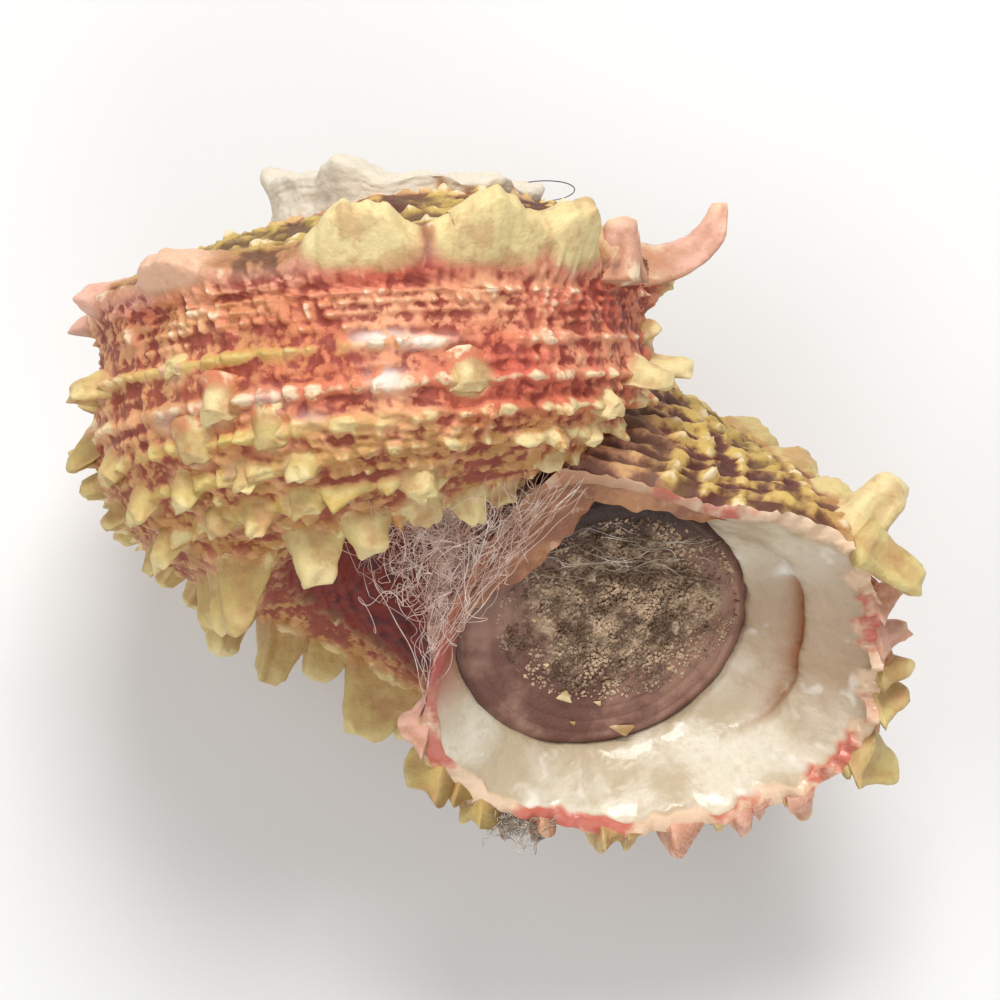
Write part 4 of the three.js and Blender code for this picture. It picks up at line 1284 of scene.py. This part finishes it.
def strayHair(material):
    # a dark hair that loops out behind the crown's right end: part of an ellipse in the upright plane
    spec = hairSpec
    t = np.linspace(0, 1, spec["steps"])
    first, last = spec["turns"]
    turn = np.radians(first + (last - first) * t)
    low, more = spec["high"]
    loop = [np.cos(turn) * spec["wide"], spec["deep"] * np.sin(t * 5), np.sin(turn) * (low + more * t)]
    path = pointAt(*spec["from"]) + np.stack(loop, -1) + spec["shift"]
    return tubesAlong("strayHair", path[None], np.full(1, spec["radius"]), material)


sheetSpec = {"rows": 90, "lip": (1.0, 15.2, 2.6), "body": (275, 50, 12.3, -0.4), "waves": (0.3, 0.5, 0.3)}


def membrane(material):
    # a torn sheet of web: straight across from the inner lip to the body whorl, waved by noise
    spec = sheetSpec
    u = np.linspace(0, 1, spec["rows"])[:, None]
    v = np.linspace(0, 1, spec["rows"])[None, :, None]
    angle, place, places = spec["lip"]
    lipSide = pointAt(angle + 0 * u, place + places * u)
    angle, angles, place, places = spec["body"]
    bodySide = pointAt(angle + angles * u, place + places * u)
    points = lipSide * (1 - v) + bodySide * v
    points = points + fractal(points, 2.5, 3, 61)[..., None] * np.array(spec["waves"])
    return makeMesh("membrane", toScene(points), gridFaces(spec["rows"], spec["rows"]), None, material)


# Making all of it
print("materials")
shellFinish, nacreFinish, hornFinish = shellMaterial(), nacreMaterial(), hornMaterial()

print("spines")
spines = allSpines()
shellPieces = [spinePieces([spine for spine in spines if not isKnob(spine)], shellFinish)]

print("whorls")
mouthPlaces = outerPlaces(whorlSpec["columns"])
spirePlaces = outerPlaces(whorlSpec["spireColumns"])
lipWhorl, lipEdge = whorlPiece("lipWhorl", mouthPlaces, spines, shellFinish, lip=True)
shellPieces.append(lipWhorl)
for name in ("backWhorl", "leftWhorl", "frontWhorl"):
    shellPieces.append(whorlPiece(name, mouthPlaces, spines, shellFinish)[0])
shellPieces.append(whorlPiece("spireWhorls", spirePlaces, spines, shellFinish)[0])
shellPieces.append(apexCap(shellFinish))

print("mouth")
shellPieces.append(mouthLining(lipEdge, mouthPlaces, nacreFinish))
shellPieces.append(innerFold(foldMaterial()))
operculum = operculumPiece(hornFinish)

print("web, sand and lint")
paleWeb, greyWeb = looseMaterial("paleWeb"), looseMaterial("greyWeb")
loosePieces = [
    cobweb(paleWeb), lipFan(paleWeb), discThreads(greyWeb), lint(greyWeb),
    membrane(looseMaterial("webSheet", torn=0.8)), discGrains(looseMaterial("sand")),
    strayHair(looseMaterial("darkHair")), discChips(looseMaterial("chips"))]

for piece in shellPieces:
    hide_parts("shell")
    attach(piece, "root")
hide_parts("operculum")
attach(operculum, "root")
for piece in loosePieces:
    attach(piece, "root")


# The studio: the camera in millimetres; the lights in metres: where, how wide, watts; floor and sky
studio = {
    "cameraDistance": 260.0, "frameWidth": 70.0, "axisInFrame": (-6.65, -10.5), "sensor": 36.0,
    "lights": {"key": ((0.02, 0.3, 0.42), 0.2, 2.1), "fill": ((-0.35, 0.0, 0.4), 0.4, 0.75),
               "front": ((0.1, -0.35, 0.35), 0.4, 0.8)},
    "aim": (0, 0, 0.025), "sky": 0.35, "floorHalf": 1.5, "floorColour": (0.78, 0.78, 0.77),
}


def makeCamera():
    # the photograph's viewpoint, kept with the shell through the turn that rests it
    camera = bpy.data.objects.new("camera", bpy.data.cameras.new("camera"))
    bpy.context.scene.collection.objects.link(camera)
    camera.data.sensor_width = studio["sensor"]
    camera.data.lens = studio["sensor"] * studio["cameraDistance"] / studio["frameWidth"]
    camera.data.clip_end = 10
    x, y = studio["axisInFrame"]
    spot = (restTurn @ np.array([-x, -y, studio["cameraDistance"]]) + lieOffset) / 1000
    matrix = np.eye(4)
    matrix[:3, :3] = restTurn
    matrix[:3, 3] = spot
    camera.matrix_world = Matrix(matrix)
    bpy.context.scene.camera = camera


def makeLight(name, spot, size, watts):
    # a square lamp at its spot, turned to the aim
    light = bpy.data.objects.new(name, bpy.data.lights.new(name, "AREA"))
    bpy.context.scene.collection.objects.link(light)
    light.data.size = size
    light.data.energy = watts
    place = np.array(spot, float)
    forward = unit(np.array(studio["aim"]) - place)
    side = unit(np.cross(forward, [0, 0.01, 1]))
    matrix = np.eye(4)
    matrix[:3, :3] = np.stack([side, np.cross(side, forward), -forward], 1)
    matrix[:3, 3] = place
    light.matrix_world = Matrix(matrix)


def makeFloor():
    # a plain square under the shell
    corners = np.array([(-1, -1, 0), (1, -1, 0), (1, 1, 0), (-1, 1, 0)]) * studio["floorHalf"]
    material = Shader("floor").finish(Base_Color=studio["floorColour"], Roughness=0.9)
    makeMesh("floor", corners, [(0, 1, 2, 3)], None, material)


def makeSky():
    # even white light from all round
    world = bpy.data.worlds.new("studio")
    world.use_nodes = True
    colour, strength = world.node_tree.nodes["Background"].inputs[:2]
    colour.default_value = (1, 1, 1, 1)
    strength.default_value = studio["sky"]
    bpy.context.scene.world = world


print("studio")
makeCamera()
makeFloor()
for name, lamp in studio["lights"].items():
    makeLight(name, *lamp)
makeSky()
bpy.context.scene.view_settings.view_transform = "Standard"
